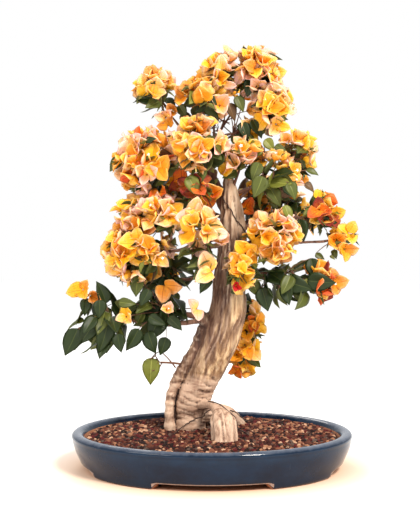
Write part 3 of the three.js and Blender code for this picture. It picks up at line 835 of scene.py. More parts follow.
MASSES = [Mass(*row) for row in (
    ("crown_top", (60, 2, 533), (40, 46, 40), 0.95, 11, "leader", 0.96, 3.6, 4, Mood.SUNNY),
    ("crown_crest", (11, 0, 530), (34, 42, 36), 0.95, 9, "leader", 0.9, 3.2, 4, Mood.PEACHY),
    ("crown_right", (80, -5, 484), (33, 46, 44), 0.9, 10, "leader", 0.84, 3.2, 6, Mood.SUNNY),
    ("crown_left", (-14, -8, 500), (36, 44, 34), 0.95, 10, "leader", 0.72, 3.2, 4, Mood.WARM),
    ("crown_heart", (36, 10, 456), (34, 36, 34), 0.2, 6, "leader", 1.0, 2.6, 0, Mood.WARM),
    ("high_left", (-76, 5, 507), (34, 36, 40), 0.75, 9, "leader", 0.58, 3.2, -4, Mood.SUNNY),
    ("upper_left", (-82, -5, 413), (56, 54, 52), 0.95, 15, "leader", 0.44, 4.2, 6, Mood.MIXED),
    ("upper_centre", (-16, -34, 432), (44, 48, 44), 0.9, 11, "leader", 0.55, 3.4, 4, Mood.WARM),
    ("upper_middle", (41, -14, 414), (36, 42, 36), 0.9, 8, "trunk", 0.97, 3, 0, Mood.WARM),
    ("right_leaves", (82, -8, 390), (40, 44, 46), 0.15, 8, "trunk", 0.93, 3.6, 5, Mood.WARM),
    ("right_upper", (116, 10, 425), (32, 40, 38), 0.9, 9, "trunk", 0.89, 3.8, 10, Mood.SUNNY),
    ("behind_right", (57, 46, 364), (34, 36, 38), 0.95, 6, "trunk", 0.84, 3.4, 2, Mood.DEEP),
    ("mid_left", (-78, -12, 340), (60, 52, 36), 0.95, 13, "trunk", 0.79, 8, 12, Mood.PEACHY),
    ("fork_front", (-18, -24, 376), (34, 36, 30), 0.6, 6, "leader", 0.25, 2.6, 0, Mood.SHADED),
    ("low_mid_left", (-97, -12, 290), (54, 52, 48), 0.95, 14, "trunk", 0.73, 5, 10, Mood.SUNNY),
    ("centre_front", (-12, -58, 303), (38, 40, 55), 0.25, 10, "trunk", 0.76, 4, 6, Mood.PEACHY),
    ("right_middle", (80, -30, 312), (42, 45, 42), 0.92, 11, "trunk", 0.74, 4.4, 6, Mood.WARM),
    ("right_outer", (146, 4, 344), (32, 38, 34), 0.5, 7, "trunk", 0.8, 5, 12, Mood.DEEP),
    ("right_tip", (174, 0, 308), (28, 34, 30), 0.7, 6, "trunk", 0.7, 3.4, 2, Mood.WARM),
    ("right_low", (106, -12, 252), (70, 48, 42), 0.14, 11, "trunk", 0.64, 5, 8, Mood.DEEP, 16.0),
    ("front_right", (38, -44, 268), (30, 32, 36), 0.9, 5, "trunk", 0.68, 2.6, 0, Mood.SUNNY),
    ("low_left_inner", (-74, 4, 211), (60, 48, 44), 0.0, 10, "stub", 0.8, 6, 4, Mood.PEACHY, 13.5),
    ("low_left_outer", (-148, -8, 200), (53, 50, 56), 0.0, 10, "stub", 0.5, 5, -12, Mood.WARM, 14.5),
    ("low_shoot", (-79, 4, 142), (24, 26, 42), 0.0, 4, "side_stem", 0.62, 1.8, -2, Mood.WARM, 26.0),
    ("hanging_behind", (47, 60, 172), (33, 34, 66), 0.95, 10, "trunk", 0.58, 4, 14, Mood.VIVID),
    ("back_top", (20, 72, 486), (54, 46, 56), 0.8, 9, "leader", 0.66, 3.6, 6, Mood.SUNNY),
    ("back_left", (-74, 84, 372), (60, 54, 64), 0.8, 10, "trunk", 0.83, 4.6, 8, Mood.WARM),
    ("back_right", (102, 82, 352), (58, 54, 64), 0.7, 10, "trunk", 0.77, 4.6, 8, Mood.WARM),
    ("back_low_left", (-70, 84, 252), (56, 50, 48), 0.35, 8, "trunk", 0.6, 4.4, 8, Mood.WARM),
)]
SHORTEST_BOUGH = 24.0


@dataclass(frozen=True)
class Showpiece:
    """A blossom that the photo shows in a place of its own: its mass, place, facing, tint and size."""

    mass: str
    place: Point
    facing: Point
    tint: Tint
    size: float


SHOWPIECES = [Showpiece(*row) for row in (
    ("fork_front", (0, -26, 368), (0.1, -1, 0.3), Tint.AMBER, 0.85),
    ("fork_front", (-14, -28, 356), (-0.4, -1, -0.2), Tint.AMBER, 0.75),
    # Dark blossoms that paint the shade in the fork.
    ("fork_front", (0, 4, 352), (-0.2, -1, 0.2), Tint.RUST, 0.95),
    ("fork_front", (-22, 0, 352), (-0.3, -1, 0.0), Tint.RUST, 0.95),
    ("fork_front", (-40, -14, 384), (-0.3, -1, -0.1), Tint.RUST, 0.9),
    ("mid_left", (-70, -22, 372), (-0.1, -1, 0.3), Tint.EMBER, 0.7),
    ("crown_left", (10, -12, 488), (0.1, -1, 0.1), Tint.BLUSH, 0.8),
    ("high_left", (-52, -2, 482), (-0.2, -1, 0.0), Tint.OCHRE, 0.6),
    ("upper_centre", (-30, -8, 464), (-0.2, -1, 0.4), Tint.EMBER, 0.6),
    ("upper_middle", (11, -22, 396), (-0.3, -1, 0.1), Tint.GOLD, 0.8),
    ("centre_front", (-20, -50, 336), (-0.3, -1, 0.4), Tint.BLUSH, 0.95),
    ("centre_front", (-19, -54, 310), (-0.3, -1, -0.1), Tint.BLUSH, 0.85),
    ("centre_front", (10, -50, 309), (0.1, -1, 0.2), Tint.PEACH, 0.9),
    ("centre_front", (0, -74, 268), (-0.2, -1, 0.1), Tint.PEACH, 1.0),
    ("front_right", (44, -44, 290), (0.1, -1, 0.4), Tint.GOLD, 0.9),
    ("front_right", (40, -46, 262), (-0.2, -1, -0.1), Tint.GOLD, 0.9),
    ("behind_right", (46, 22, 352), (0.2, -1, 0.1), Tint.EMBER, 0.9),
    ("behind_right", (64, 24, 346), (0.5, -1, -0.2), Tint.EMBER, 0.9),
    ("behind_right", (50, 20, 376), (0.1, -1, 0.5), Tint.AMBER, 0.9),
    ("right_outer", (146, -8, 341), (-0.1, -1, 0.1), Tint.AMBER, 0.75),
    ("right_outer", (161, -8, 342), (0.4, -1, 0.1), Tint.EMBER, 0.7),
    ("right_low", (163, -14, 250), (0.4, -1, 0.2), Tint.OCHRE, 0.75),
    ("right_upper", (102, -4, 441), (-0.5, -1, 0.4), Tint.PEACH, 0.8),
    ("crown_crest", (24, -8, 546), (0.1, -0.7, 1.0), Tint.PEACH, 0.85),
    ("crown_left", (-36, -12, 502), (-0.6, -1, 0.2), Tint.AMBER, 0.8),
    ("high_left", (-62, -2, 474), (-0.3, -1, -0.2), Tint.BLUSH, 0.65),
    ("high_left", (-59, -3, 462), (-0.2, -1, 0.1), Tint.OCHRE, 0.55),
    ("crown_right", (86, -9, 464), (0.3, -1, -0.4), Tint.PEACH, 0.75),
    ("right_tip", (184, -8, 318), (0.4, -1, 0.5), Tint.GOLD, 0.72),
    ("right_tip", (168, -10, 308), (-0.2, -1, 0.1), Tint.AMBER, 0.8),
    ("right_tip", (178, -12, 296), (0.3, -1, -0.3), Tint.AMBER, 0.72),
    ("low_left_outer", (-172, -22, 242), (-0.3, -1, 0.3), Tint.AMBER, 0.8),
    ("low_left_outer", (-163, -18, 234), (0.6, -1, -0.2), Tint.OCHRE, 0.7),
    ("low_left_inner", (-64, -20, 248), (0.0, -1, -0.3), Tint.OCHRE, 0.8),
    ("low_left_inner", (-20, -16, 216), (0.2, -1, 0.2), Tint.BLUSH, 0.65),
    ("low_left_inner", (-114, -26, 206), (-0.3, -1, 0.2), Tint.PEACH, 0.65),
    ("low_left_inner", (-60, -30, 216), (0.3, -1, 0.3), Tint.PEACH, 0.5),
    ("hanging_behind", (36, 46, 130), (-0.3, -1, -0.6), Tint.EMBER, 0.6),
    ("hanging_behind", (47, 42, 182), (0.2, -1, 0.2), Tint.AMBER, 0.75),
    ("hanging_behind", (46, 44, 161), (0.1, -1, 0.0), Tint.GOLD, 0.75),
    ("hanging_behind", (54, 46, 154), (0.4, -1, -0.1), Tint.PEACH, 0.65),
    ("hanging_behind", (35, 46, 147), (-0.2, -1, 0.1), Tint.AMBER, 0.7),
    ("front_right", (31, -56, 250), (0.1, -1, -0.3), Tint.SCARLET, 0.4),
)]


@dataclass(frozen=True)
class ShownLeaf:
    """A leaf that the photo shows in a place of its own: its mass, base, tip and green."""

    mass: str
    base: Point
    tip: Point
    green: Green


SHOWN_LEAVES = [ShownLeaf(*row) for row in (
    ("low_left_outer", (-180, -20, 190), (-193, -22, 152), Green.DARK),
    ("low_left_outer", (-156, -26, 199), (-174, -30, 169), Green.DARK),
    ("low_left_outer", (-139, -30, 197), (-146, -32, 158), Green.DARK),
    ("low_left_outer", (-149, -32, 229), (-148, -36, 204), Green.DARK),
    ("low_left_outer", (-168, -22, 231), (-169, -24, 207), Green.DARK),
    ("low_left_outer", (-126, -26, 184), (-122, -28, 158), Green.DARK),
    ("low_left_inner", (-98, -24, 190), (-114, -26, 160), Green.DARK),
    ("low_left_inner", (-86, -18, 186), (-75, -20, 156), Green.DARK),
    ("low_left_inner", (-100, -20, 258), (-100, -24, 233), Green.MIDDLE),
    ("low_left_inner", (-84, -24, 243), (-93, -26, 219), Green.DARK),
    ("low_left_inner", (-124, -30, 226), (-101, -32, 223), Green.MIDDLE),
    ("low_left_inner", (-58, -24, 206), (-40, -26, 188), Green.DARK),
    ("low_left_inner", (-84, -28, 207), (-62, -30, 194), Green.DARK),
    ("fork_front", (-31, -46, 392), (-17, -50, 364), Green.FRESH),
    ("fork_front", (-12, -42, 404), (-26, -46, 378), Green.MIDDLE),
    ("right_leaves", (66, -42, 392), (57, -46, 363), Green.MIDDLE),
    ("right_leaves", (62, -40, 410), (52, -42, 386), Green.MIDDLE),
    ("right_leaves", (100, -40, 384), (112, -44, 362), Green.MIDDLE),
    ("right_leaves", (70, -20, 442), (84, -22, 428), Green.FRESH),
    ("right_leaves", (66, -20, 430), (52, -22, 420), Green.FRESH),
    ("right_leaves", (84, -20, 434), (98, -22, 426), Green.MIDDLE),
    ("right_leaves", (126, -14, 402), (143, -16, 396), Green.MIDDLE),
    ("right_leaves", (124, -16, 384), (138, -18, 374), Green.BRONZE),
    ("right_middle", (95, -44, 354), (102, -48, 330), Green.FRESH),
    ("right_outer", (116, -20, 336), (122, -22, 306), Green.DARK),
    ("right_outer", (144, -14, 334), (168, -16, 331), Green.DARK),
    ("right_low", (132, -22, 284), (138, -26, 254), Green.DARK),
    ("crown_heart", (22, -10, 492), (31, -12, 468), Green.BRONZE),
    ("crown_heart", (33, -12, 501), (43, -14, 480), Green.MIDDLE),
    ("crown_heart", (52, -18, 524), (49, -20, 499), Green.DARK),
    ("crown_heart", (40, -14, 466), (48, -16, 440), Green.DARK),
    ("crown_heart", (54, -12, 470), (68, -14, 446), Green.DARK),
    ("crown_heart", (46, -10, 452), (53, -12, 427), Green.MIDDLE),
    ("high_left", (-62, -2, 500), (-49, -4, 484), Green.DARK),
    ("high_left", (-45, -4, 490), (-33, -6, 474), Green.MIDDLE),
    ("high_left", (-42, -4, 478), (-24, -6, 463), Green.BRONZE),
    ("upper_left", (-124, -6, 419), (-138, -8, 401), Green.MIDDLE),
    ("centre_front", (-2, -18, 259), (-18, -20, 238), Green.DARK),
    ("low_left_inner", (-62, -8, 177), (-70, -10, 152), Green.DARK),
    ("right_low", (66, -22, 245), (77, -24, 214), Green.DARK),
    ("right_low", (52, -18, 254), (64, -20, 231), Green.MIDDLE),
    ("right_tip", (140, -6, 290), (151, -8, 281), Green.MIDDLE),
)]


@dataclass(frozen=True)
class Opening:
    """A gap in the crown that shows the sky from the front: its middle and its half sizes."""

    x: float
    z: float
    half_width: float
    half_height: float

    def holds(self, x: float, z: float, margin: float) -> bool:
        """True where a place in front view lies in the gap or within a margin of it."""
        across, up = (x - self.x) / (self.half_width + margin), (z - self.z) / (self.half_height + margin)
        return across**2 + up**2 < 1.0


OPENINGS = [Opening(*row) for row in (
    (77, 140, 15, 36), (132, 300, 15, 20), (44, 402, 9, 11), (-52, 176, 22, 20),
    (-30, 232, 10, 18), (18, 459, 24, 13), (-81, 316, 13, 6), (100, 462, 16, 12),
    (-46, 492, 9, 22), (128, 372, 10, 12), (33, 485, 18, 25), (100, 562, 15, 18),
    (-24, 550, 10, 15),
)]
EYE_DISTANCE = 1300.0
EYE_HEIGHT = 308.0


def shows_sky(point: Array, margin: float) -> bool:
    """Tells whether a place would close one of the openings from the front.

    Args:
        point: the place.
        margin: how far round an opening it counts too.

    Returns:
        Whether it is seen inside an opening or its margin.
    """
    nearer = EYE_DISTANCE / (EYE_DISTANCE + float(point[1]))
    x, z = float(point[0]) * nearer, EYE_HEIGHT + (float(point[2]) - EYE_HEIGHT) * nearer
    return any(gap.holds(x, z, margin) for gap in OPENINGS)


@dataclass(frozen=True)
class Bough:
    """The limb of one mass: its middle line, its radii, and whether it stands off from its parent."""

    mass: Mass
    points: Array
    radii: Array
    stands_off: bool

    @classmethod
    def of(cls, mass: Mass) -> Bough:
        """Works out a mass's bough from its limb to the edge of its space.

        Args:
            mass: the mass that it carries.

        Returns:
            The bough.
        """
        start, parent_radius = LIMBS[mass.limb].station(mass.at)
        centre = np.array(mass.centre, float)
        inside = math.sqrt(float((((start - centre) / np.array(mass.reach)) ** 2).sum()))
        tip = centre + (start - centre) * min(0.78 / inside, 1.0)
        length = float(np.linalg.norm(tip - start))
        points = bowed(start, (start + tip) / 2 + UP * mass.rise, tip, max(4, int(length / 3.0)))
        radii = np.linspace(mass.thick, max(mass.thick * 0.55, 1.92), len(points))
        return cls(mass, points, radii, length - parent_radius > SHORTEST_BOUGH)

    @property
    def stem(self) -> tuple[Array, Array]:
        """Where the mass's own stem starts, and where it ends near the mass's middle."""
        root = self.points[-1] if self.stands_off else self.points[0]
        return root, root + (np.array(self.mass.centre, float) - root) * 0.8


# Pot and soil


@dataclass
class Pot:
    """A low oval pot with a rounded lip, a bowed wall and four feet."""

    length: float = 380.0
    width: float = 296.0
    around: int = 160
    front_arch: float = 75.0
    side_arch: float = 68.0
    arch_height: float = 7.4
    front_curve: float = 8.0
    side_curve: float = 15.0
    foot_reach: float = 172.2
    foot_inner: float = 150.0
    bare_reach: float = 174.0
    bare_height: float = 9.0
    last_glazed: int = 29
    # The band along the arch edges that gets bare clay painted paler as a highlight.
    bare_edge_highlight_reach: tuple[float, float] = (175.0, 177.0)
    bare_edge_highlight_height: float = 7.0
    section: tuple[tuple[float, float], ...] = (
        (0.0, 5.0), (60.0, 5.0), (120.0, 5.0), (156.0, 5.0), (159.0, 4.4), (159.6, 2.5), (160.4, 0.7),
        (162.0, 0.0), (167.0, 0.0), (172.2, 0.0), (174.4, 0.7), (175.4, 2.2), (176.0, 3.6), (177.0, 7.2),
        (178.3, 10.6), (180.2, 15.0), (182.6, 20.0), (185.0, 25.5), (187.0, 31.0), (188.4, 36.0),
        (189.0, 40.0), (189.2, 42.4), (190.0, 43.6), (190.0, 45.4), (189.2, 47.2), (187.4, 48.9),
        (184.6, 49.9), (181.5, 50.0), (178.2, 49.4), (175.6, 47.6), (174.4, 45.8), (173.4, 43.0),
        (172.2, 40.0), (171.0, 36.0), (165.0, 15.0), (150.0, 10.4), (0.0, 10.4),
    )

    def foot_lift(self, angle: float) -> float:
        """Works out how far an arch takes the foot ring away.

        Args:
            angle: the angle round the pot.

        Returns:
            The share that is taken away, from 0 to 1.
        """
        x = abs(self.foot_reach * math.cos(angle))
        y = abs(self.foot_reach * math.sin(angle)) * self.width / self.length
        front = smoothstep(self.front_arch + 0.6, self.front_arch - self.front_curve, x)
        side = smoothstep(self.side_arch + 0.6, self.side_arch - self.side_curve, y)
        return max(front, side)

    def build(self, shift: float) -> None:
        """Makes the pot.

        Args:
            shift: the pot's middle along X.
        """
        squeeze = self.width / self.length
        angles = self.angles()
        corners = []
        for reach, height in self.section[1:-1]:
            arched = height < self.arch_height and reach > self.foot_inner
            for angle in angles:
                x, y = reach * math.cos(angle), reach * math.sin(angle) * squeeze
                lift = self.foot_lift(angle) if arched else 0.0
                corners.append((x + shift, y, height + (self.arch_height - 0.75 * height) * lift))
        slots = np.zeros((len(self.section) - 3, len(angles)), int)
        for i, (reach, height) in enumerate(self.section[1:-2]):
            under = reach <= self.bare_reach and height < self.bare_height
            slots[i, :] = 1 if under or i > self.last_glazed else 0
            # Painted highlight: faces along the arch edges get the paler bare clay.
            if self.bare_edge_highlight_reach[0] < reach < self.bare_edge_highlight_reach[1] and height < self.bare_edge_highlight_height:
                slots[i, [self.foot_lift(angle) > 0.1 for angle in angles]] = 2
        builder = PieceBuilder()
        ends = [(shift, 0.0, self.section[0][1]), (shift, 0.0, self.section[-1][1])]
        close_rings(builder, corners, len(angles), ends, slots.ravel(), 1)
        # Bare clay painted paler as a highlight, for the arch edges.
        edge = ClayFinish("bare_edge_highlight", (176, 152, 140), (122, 100, 92), 0.6)
        finishes = [finish.material() for finish in (GlazeFinish(), ClayFinish(), edge)]
        settle(builder.build("glazed_pot", finishes), ["pot"])

    def angles(self) -> Array:
        """Steps round the oval, closer together where an arch ends.

        Returns:
            The angles in order.
        """
        even = np.linspace(0.0, math.tau, self.around, endpoint=False)
        ends = []
        stretch = self.length / self.width
        for half, curve, axis in (
            (self.front_arch, self.front_curve, math.acos),
            (self.side_arch * stretch, self.side_curve * stretch, math.asin),
        ):
            for offset in np.linspace(0.6, -curve, 9):
                angle = axis(min((half + offset) / self.foot_reach, 1.0))
                ends += [angle, math.pi - angle, math.pi + angle, math.tau - angle]
        return np.unique(np.round(np.concatenate([even, ends]), 5))


@dataclass
class Soil:
    """Baked-clay granules over a dark bed that fills the pot and paints the shade between them, laid on the
    rough top of the solid.
    """

    top: BVHTree = field(repr=False)
    reach: float = 170.6
    squeeze: float = Pot.width / Pot.length
    edge: float = 45.0
    sunk: float = 2.2
    grain: float = 3.5
    spacing: float = 5.9
    loose: int = 800
    colours: tuple[tuple[Colour, int], ...] = (
        ((86, 48, 36), 6), ((116, 72, 54), 6), ((58, 30, 26), 6), ((150, 106, 80), 4), ((80, 28, 28), 3),
        ((34, 22, 20), 5), ((184, 144, 116), 2), ((84, 68, 60), 3),
    )
    darkest: int = 200
    bed_around: int = 96
    bed_wall: tuple[tuple[float, float], ...] = ((0.6, 10.9), (0.93, 12.0), (0.985, 40.0))
    bed_top: tuple[float, ...] = (0.985, 0.86, 0.72, 0.58, 0.3)
    bed_foot: float = 0.94
    bed_foot_height: float = 20.0

    def level(self, x: float, y: float) -> float:
        """The height of the solid's rough top at a place in the frame."""
        hit, _, _, _ = self.top.ray_cast(Vector((x * MM, y * MM, 1.0)), Vector((0.0, 0.0, -1.0)))
        return float(hit.z) / MM if hit else self.edge

    def lump(self, rng: random.Random) -> tuple[Array, Array]:
        """Makes one rough granule of twenty faces.

        Args:
            rng: the soil's random numbers.

        Returns:
            Its corners, about 1 from its middle, and its faces.
        """
        gold = (1.0 + math.sqrt(5.0)) / 2.0
        corners = np.array(
            [
                (-1, gold, 0), (1, gold, 0), (-1, -gold, 0), (1, -gold, 0), (0, -1, gold), (0, 1, gold),
                (0, -1, -gold), (0, 1, -gold), (gold, 0, -1), (gold, 0, 1), (-gold, 0, -1), (-gold, 0, 1),
            ],
            float,
        ) / math.sqrt(1.0 + gold * gold)
        faces = np.array(
            [
                (0, 11, 5), (0, 5, 1), (0, 1, 7), (0, 7, 10), (0, 10, 11), (1, 5, 9), (5, 11, 4), (11, 10, 2),
                (10, 7, 6), (7, 1, 8), (3, 9, 4), (3, 4, 2), (3, 2, 6), (3, 6, 8), (3, 8, 9), (4, 9, 5),
                (2, 4, 11), (6, 2, 10), (8, 6, 7), (9, 8, 1),
            ]
        )
        stretch = np.array([rng.uniform(0.8, 1.2), rng.uniform(0.8, 1.2), rng.uniform(0.65, 1.0)])
        rough = np.array([[rng.uniform(0.82, 1.12)] for _ in range(12)])
        return corners * rough * stretch, faces

    def build(self, shift: float) -> None:
        """Makes the bed and the granules on it.

        Args:
            shift: the pot's middle along X.
        """
        rng = random.Random(5)
        shapes = [self.lump(rng) for _ in range(24)]
        pool = [i for i, (_, weight) in enumerate(self.colours) for _ in range(weight)]
        dim = [i for i in pool if sum(self.colours[i][0]) < self.darkest]
        builder = PieceBuilder()

        def drop(x: float, y: float, lift: float, size: float) -> None:
            """Puts one granule on the bed, where it is inside the rim.

            Args:
                x: its place from the pot's middle.
                y: its place from the pot's middle.
                lift: how far it stands above its neighbours.
                size: its radius.
            """
            share = math.hypot(x, y / self.squeeze) / self.reach
            if share > 1.0 - size / self.reach:
                return
            corners, faces = shapes[rng.randrange(len(shapes))]
            turn = rng.uniform(0.0, math.tau)
            cos, sin = math.cos(turn), math.sin(turn)
            spun = corners @ np.array([[cos, sin, 0.0], [-sin, cos, 0.0], [0.0, 0.0, 1.0]])
            height = self.level(x + shift, y) - self.sunk + lift
            # Broad patches where dark granules are dealt more often: partly painted shadow, partly tone.
            shadow_and_tone_share = 0.25 + 0.5 * math.sin(0.045 * x + 1.6 * math.sin(0.06 * y)) * math.cos(0.05 * y - 0.02 * x)
            tone = rng.choice(dim if rng.random() < shadow_and_tone_share else pool)
            builder.add(spun * size + (x + shift, y, height), faces, tone)

        columns = int(self.reach / self.spacing) + 1
        for i in range(-columns, columns + 1):
            for j in range(-columns, columns + 1):
                x = (i + 0.5 * (j % 2) + rng.uniform(-0.3, 0.3)) * self.spacing
                y = (j * 0.87 + rng.uniform(-0.3, 0.3)) * self.spacing
                drop(x, y, rng.uniform(-0.8, 0.3), self.grain * rng.uniform(0.72, 1.2))
        for _ in range(self.loose):
            angle, share = rng.uniform(0.0, math.tau), math.sqrt(rng.random())
            x, y = self.reach * share * math.cos(angle), self.reach * self.squeeze * share * math.sin(angle)
            drop(x, y, rng.uniform(0.6, 1.8), self.grain * rng.uniform(0.55, 0.9))
        finishes = [
            BladeFinish(f"granule_{i}", colour, 0.92, 0.15).material()
            for i, (colour, _) in enumerate(self.colours)
        ]
        settle(builder.build("soil_granules", finishes, smooth=False))
        self.bed(shift)

    def bed(self, shift: float) -> None:
        """Makes the dark bed under the granules, which paints the shade in the gaps between them.

        Args:
            shift: the pot's middle along X.
        """
        corners = []
        for share, height in (*self.bed_wall, *((share, None) for share in self.bed_top)):
            foot = self.bed_foot if height is not None and height < self.bed_foot_height else 1.0
            reach = self.reach * share * foot
            for k in range(self.bed_around):
                angle = math.tau * k / self.bed_around
                x, y = reach * math.cos(angle), reach * math.sin(angle) * self.squeeze
                z = self.level(x + shift, y) - self.sunk if height is None else height
                corners.append((x + shift, y, z))
        builder = PieceBuilder()
        ends = [(shift, 0.0, self.bed_wall[0][1]), (shift, 0.0, self.level(shift, 0.0) - self.sunk)]
        close_rings(builder, corners, self.bed_around, ends)
        # Painted shade: the bed is dark so that the gaps between the granules look shaded.
        clay = ClayFinish("soil_bed", (66, 38, 30), (34, 20, 17), 0.95)
        settle(builder.build("soil_bed", [clay.material()]), ["soil"])


# Wood


@dataclass
class Trunk:
    """The trunk with its side stem, stub and surface roots, grown together, with the bark's relief."""

    voxel: float = 1.35
    ground: float = 45.5
    fine: float = 0.3
    fold_pitch: float = 8.5
    fold_depth: float = 3.0
    crack_depth: float = 2.2
    # Where shade is painted in the recess between the side stem and the trunk.
    gap_top: float = 132.0
    gap_reach: float = 2.6
    gap_depth: float = 0.9
    tip: tuple[tuple[Point, float], ...] = (((21, 1.5, 392.0), 6.4), ((20, 1, 394.5), 3.4))
    surface: BVHTree | None = field(default=None, repr=False)

    def trunk_swell(self, angle: float, share: float, place: Array) -> float:
        """Shapes the trunk's flutes, long ribs, low wrinkles and cracks.

        Args:
            angle: the angle round the limb.
            share: the share of its length.
            place: the place on its skin.

        Returns:
            The millimetres to add.
        """
        radius = TRUNK.radius(share)
        flutes = radius * (0.05 * math.cos(3 * angle + 0.6) + 0.03 * math.cos(5 * angle + 2))
        x, y, z = math.cos(angle), math.sin(angle), float(place[2])
        ribs = 1.7 * wander((x * 20, y * 20, z * 0.25), 11.0, 3.0)
        lumps = 1.8 * wander((x * 24, y * 24, z), 30.0, 12.0)
        low = smoothstep(48.0, 60.0, z) * smoothstep(142.0, 108.0, z)
        bend = 7.0 * wander((x * 18, y * 18, z), 26.0, 8.0) + 6.0 * x
        gap = abs(((z + bend) / self.fold_pitch) % 1.0 - 0.5) * 2.0
        reach = min(max(0.55 + 1.3 * wander((x * 14, y * 14, z), 12.0, 5.0), 0.1), 1.2)
        folds = -self.fold_depth * low * reach * math.exp(-((gap / 0.24) ** 2))
        line = 1.0 - abs(wander((x * 24, y * 24, z * 0.1), 6.0, 1.0))
        cracks = -self.crack_depth * smoothstep(0.82, 0.98, line) * smoothstep(96.0, 150.0, z)
        belly = 3.0 * smoothstep(0.2, 0.95, -x) * smoothstep(60.0, 84.0, z) * smoothstep(134.0, 112.0, z)
        return flutes + ribs + lumps + folds + cracks + belly

    def stem_swell(self, angle: float, share: float, place: Array) -> float:
        """Shapes the side stem's joints and flaking.

        Args:
            angle: the angle round the limb.
            share: the share of its length.
            place: the place on its skin.

        Returns:
            The millimetres to add.
        """
        length = 190.0 * share
        joints = 1.1 * math.cos(length * math.tau / 31.0 + 0.8) ** 6
        slimmer = -1.2 - 2.2 * max(math.cos(angle), 0.0) * smoothstep(122.0, 108.0, float(place[2]))
        flakes = 1.2 * wander((place[0], place[1], place[2] * 0.4), 5.0, 4.0)
        return joints + flakes + slimmer + 0.6 * wander(place, 3.0, 6.0)

    def root_swell(self, angle: float, share: float, place: Array) -> float:
        """Shapes the long ridges of a surface root.

        Args:
            angle: the angle round the limb.
            share: the share of its length.
            place: not used.

        Returns:
            The millimetres to add.
        """
        x, y = math.cos(angle), math.sin(angle)
        line = 1.0 - abs(wander((x * 18, y * 18, share * 9), 6.5, 9.0))
        grooves = -2.0 * smoothstep(0.72, 0.98, line)
        return grooves + 1.6 * wander((x * 18, y * 18, share * 26), 12.0, 5.0)

    def knob_swell(self, angle: float, share: float, place: Array) -> float:
        """Shapes the front root: slim at the trunk, with upright ridges on its knob.

        Args:
            angle: the angle round the limb.
            share: the share of its length.
            place: the place on its skin.

        Returns:
            place: not used.
        """
        x, y = math.cos(angle), math.sin(angle)
        line = 1.0 - abs(wander((x * 18, y * 18, share * 9), 9.0, 14.0))
        ridges = -3.4 * smoothstep(0.74, 0.99, line) + 2.2 * wander((x * 18, y * 18, share * 26), 11.0, 5.0)
        end = smoothstep(0.45, 0.7, share)
        return -2.4 * (1.0 - end) + ridges * end

    def stub_swell(self, angle: float, share: float, place: Array) -> float:
        """The stub's small lumps, in millimetres."""
        return wander(place, 7.0, 2.0)

    def build(self, shift: float) -> None:
        """Makes the wood and keeps its surface for what lies on it.

        Args:
            shift: the pot's middle along X.
        """
        builder = PieceBuilder()
        offset = np.array([shift, 0.0, 0.0])
        points, radii = TRUNK.line(190)
        points = np.concatenate([points, [place for place, _ in self.tip]])
        radii = np.concatenate([radii, [radius for _, radius in self.tip]])
        tube(builder, points + offset, radii, 72, 0, self.trunk_swell)
        knob, *others = ROOTS
        for limb, steps, sides, swell in (
            (WEB, 30, 20, None),
            (SIDE_STEM, 90, 32, self.stem_swell),
            (STUB, 16, 32, self.stub_swell),
            (knob, 46, 40, self.knob_swell),
            *((root, 46, 40, self.root_swell) for root in others),
        ):
            points, radii = limb.line(steps)
            tube(builder, points + offset, radii, sides, 0, swell)
        rough = builder.build("rough_wood", [])
        remesh = rough.modifiers.new("grow_together", "REMESH")
        remesh.mode = "VOXEL"
        remesh.voxel_size = self.voxel * MM
        graph = bpy.context.evaluated_depsgraph_get()
        mesh = bpy.data.meshes.new_from_object(rough.evaluated_get(graph))
        bpy.data.objects.remove(rough)
        places = self.relieve(mesh)
        mesh.materials.clear()
        mesh.materials.append(TrunkFinish().material())
        # Painted shade: a dark bark for the recess between the side stem and the trunk.
        dark = BarkFinish("gap_painted_shade", (80, 50, 38), (58, 34, 26), (38, 22, 18), (22, 13, 11))
        mesh.materials.append(dark.material())
        self.paint_gap_shade(mesh, places - (shift, 0.0, 0.0))
        piece = bpy.data.objects.new("trunk_wood", mesh)
        bpy.context.scene.collection.objects.link(piece)
        settle(piece, ["trunk"])
        graph = bpy.context.evaluated_depsgraph_get()
        self.surface = BVHTree.FromObject(piece, graph)

    def paint_gap_shade(self, mesh: bpy.types.Mesh, places: Array) -> None:
        """Paints shade on the faces in the gap between the side stem and the trunk, with a dark bark.

        Args:
            mesh: the wood.
            places: its corners in millimetres from the pot's middle.
        """
        near = places[:, 2] < self.gap_top
        gap = np.zeros(len(places), bool)
        away = []
        for limb in (WEB, TRUNK, SIDE_STEM):
            points, radii = limb.line(80)
            away.append((np.linalg.norm(places[near][:, None] - points[None], axis=2) - radii).min(axis=1))
        web, trunk, stem = away
        gap[near] = (web < self.gap_reach) & (trunk > -self.gap_depth) & (stem > -self.gap_depth)
        slots = [int(all(gap[v] for v in face.vertices)) for face in mesh.polygons]
        mesh.polygons.foreach_set("material_index", slots)

    def relieve(self, mesh: bpy.types.Mesh) -> Array:
        """Adds fine relief along the normals and flattens what is below the ground.

        Args:
            mesh: the wood.

        Returns:
            Its corners in millimetres.
        """
        count = len(mesh.vertices)
        places, normals = np.empty(count * 3, np.float32), np.empty(count * 3, np.float32)
        mesh.vertices.foreach_get("co", places)
        mesh.vertices.foreach_get("normal", normals)
        places, normals = places.reshape(-1, 3) / MM, normals.reshape(-1, 3)
        fine = np.array([wander((x, y, z * 0.35), 2.4, 7.0) for x, y, z in places.tolist()])
        places += normals * (self.fine * fine)[:, None]
        places[:, 2] = np.maximum(places[:, 2], self.ground)
        mesh.vertices.foreach_set("co", (places * MM).astype(np.float32).ravel())
        mesh.polygons.foreach_set("use_smooth", np.full(len(mesh.polygons), True))
        mesh.update()
        return places


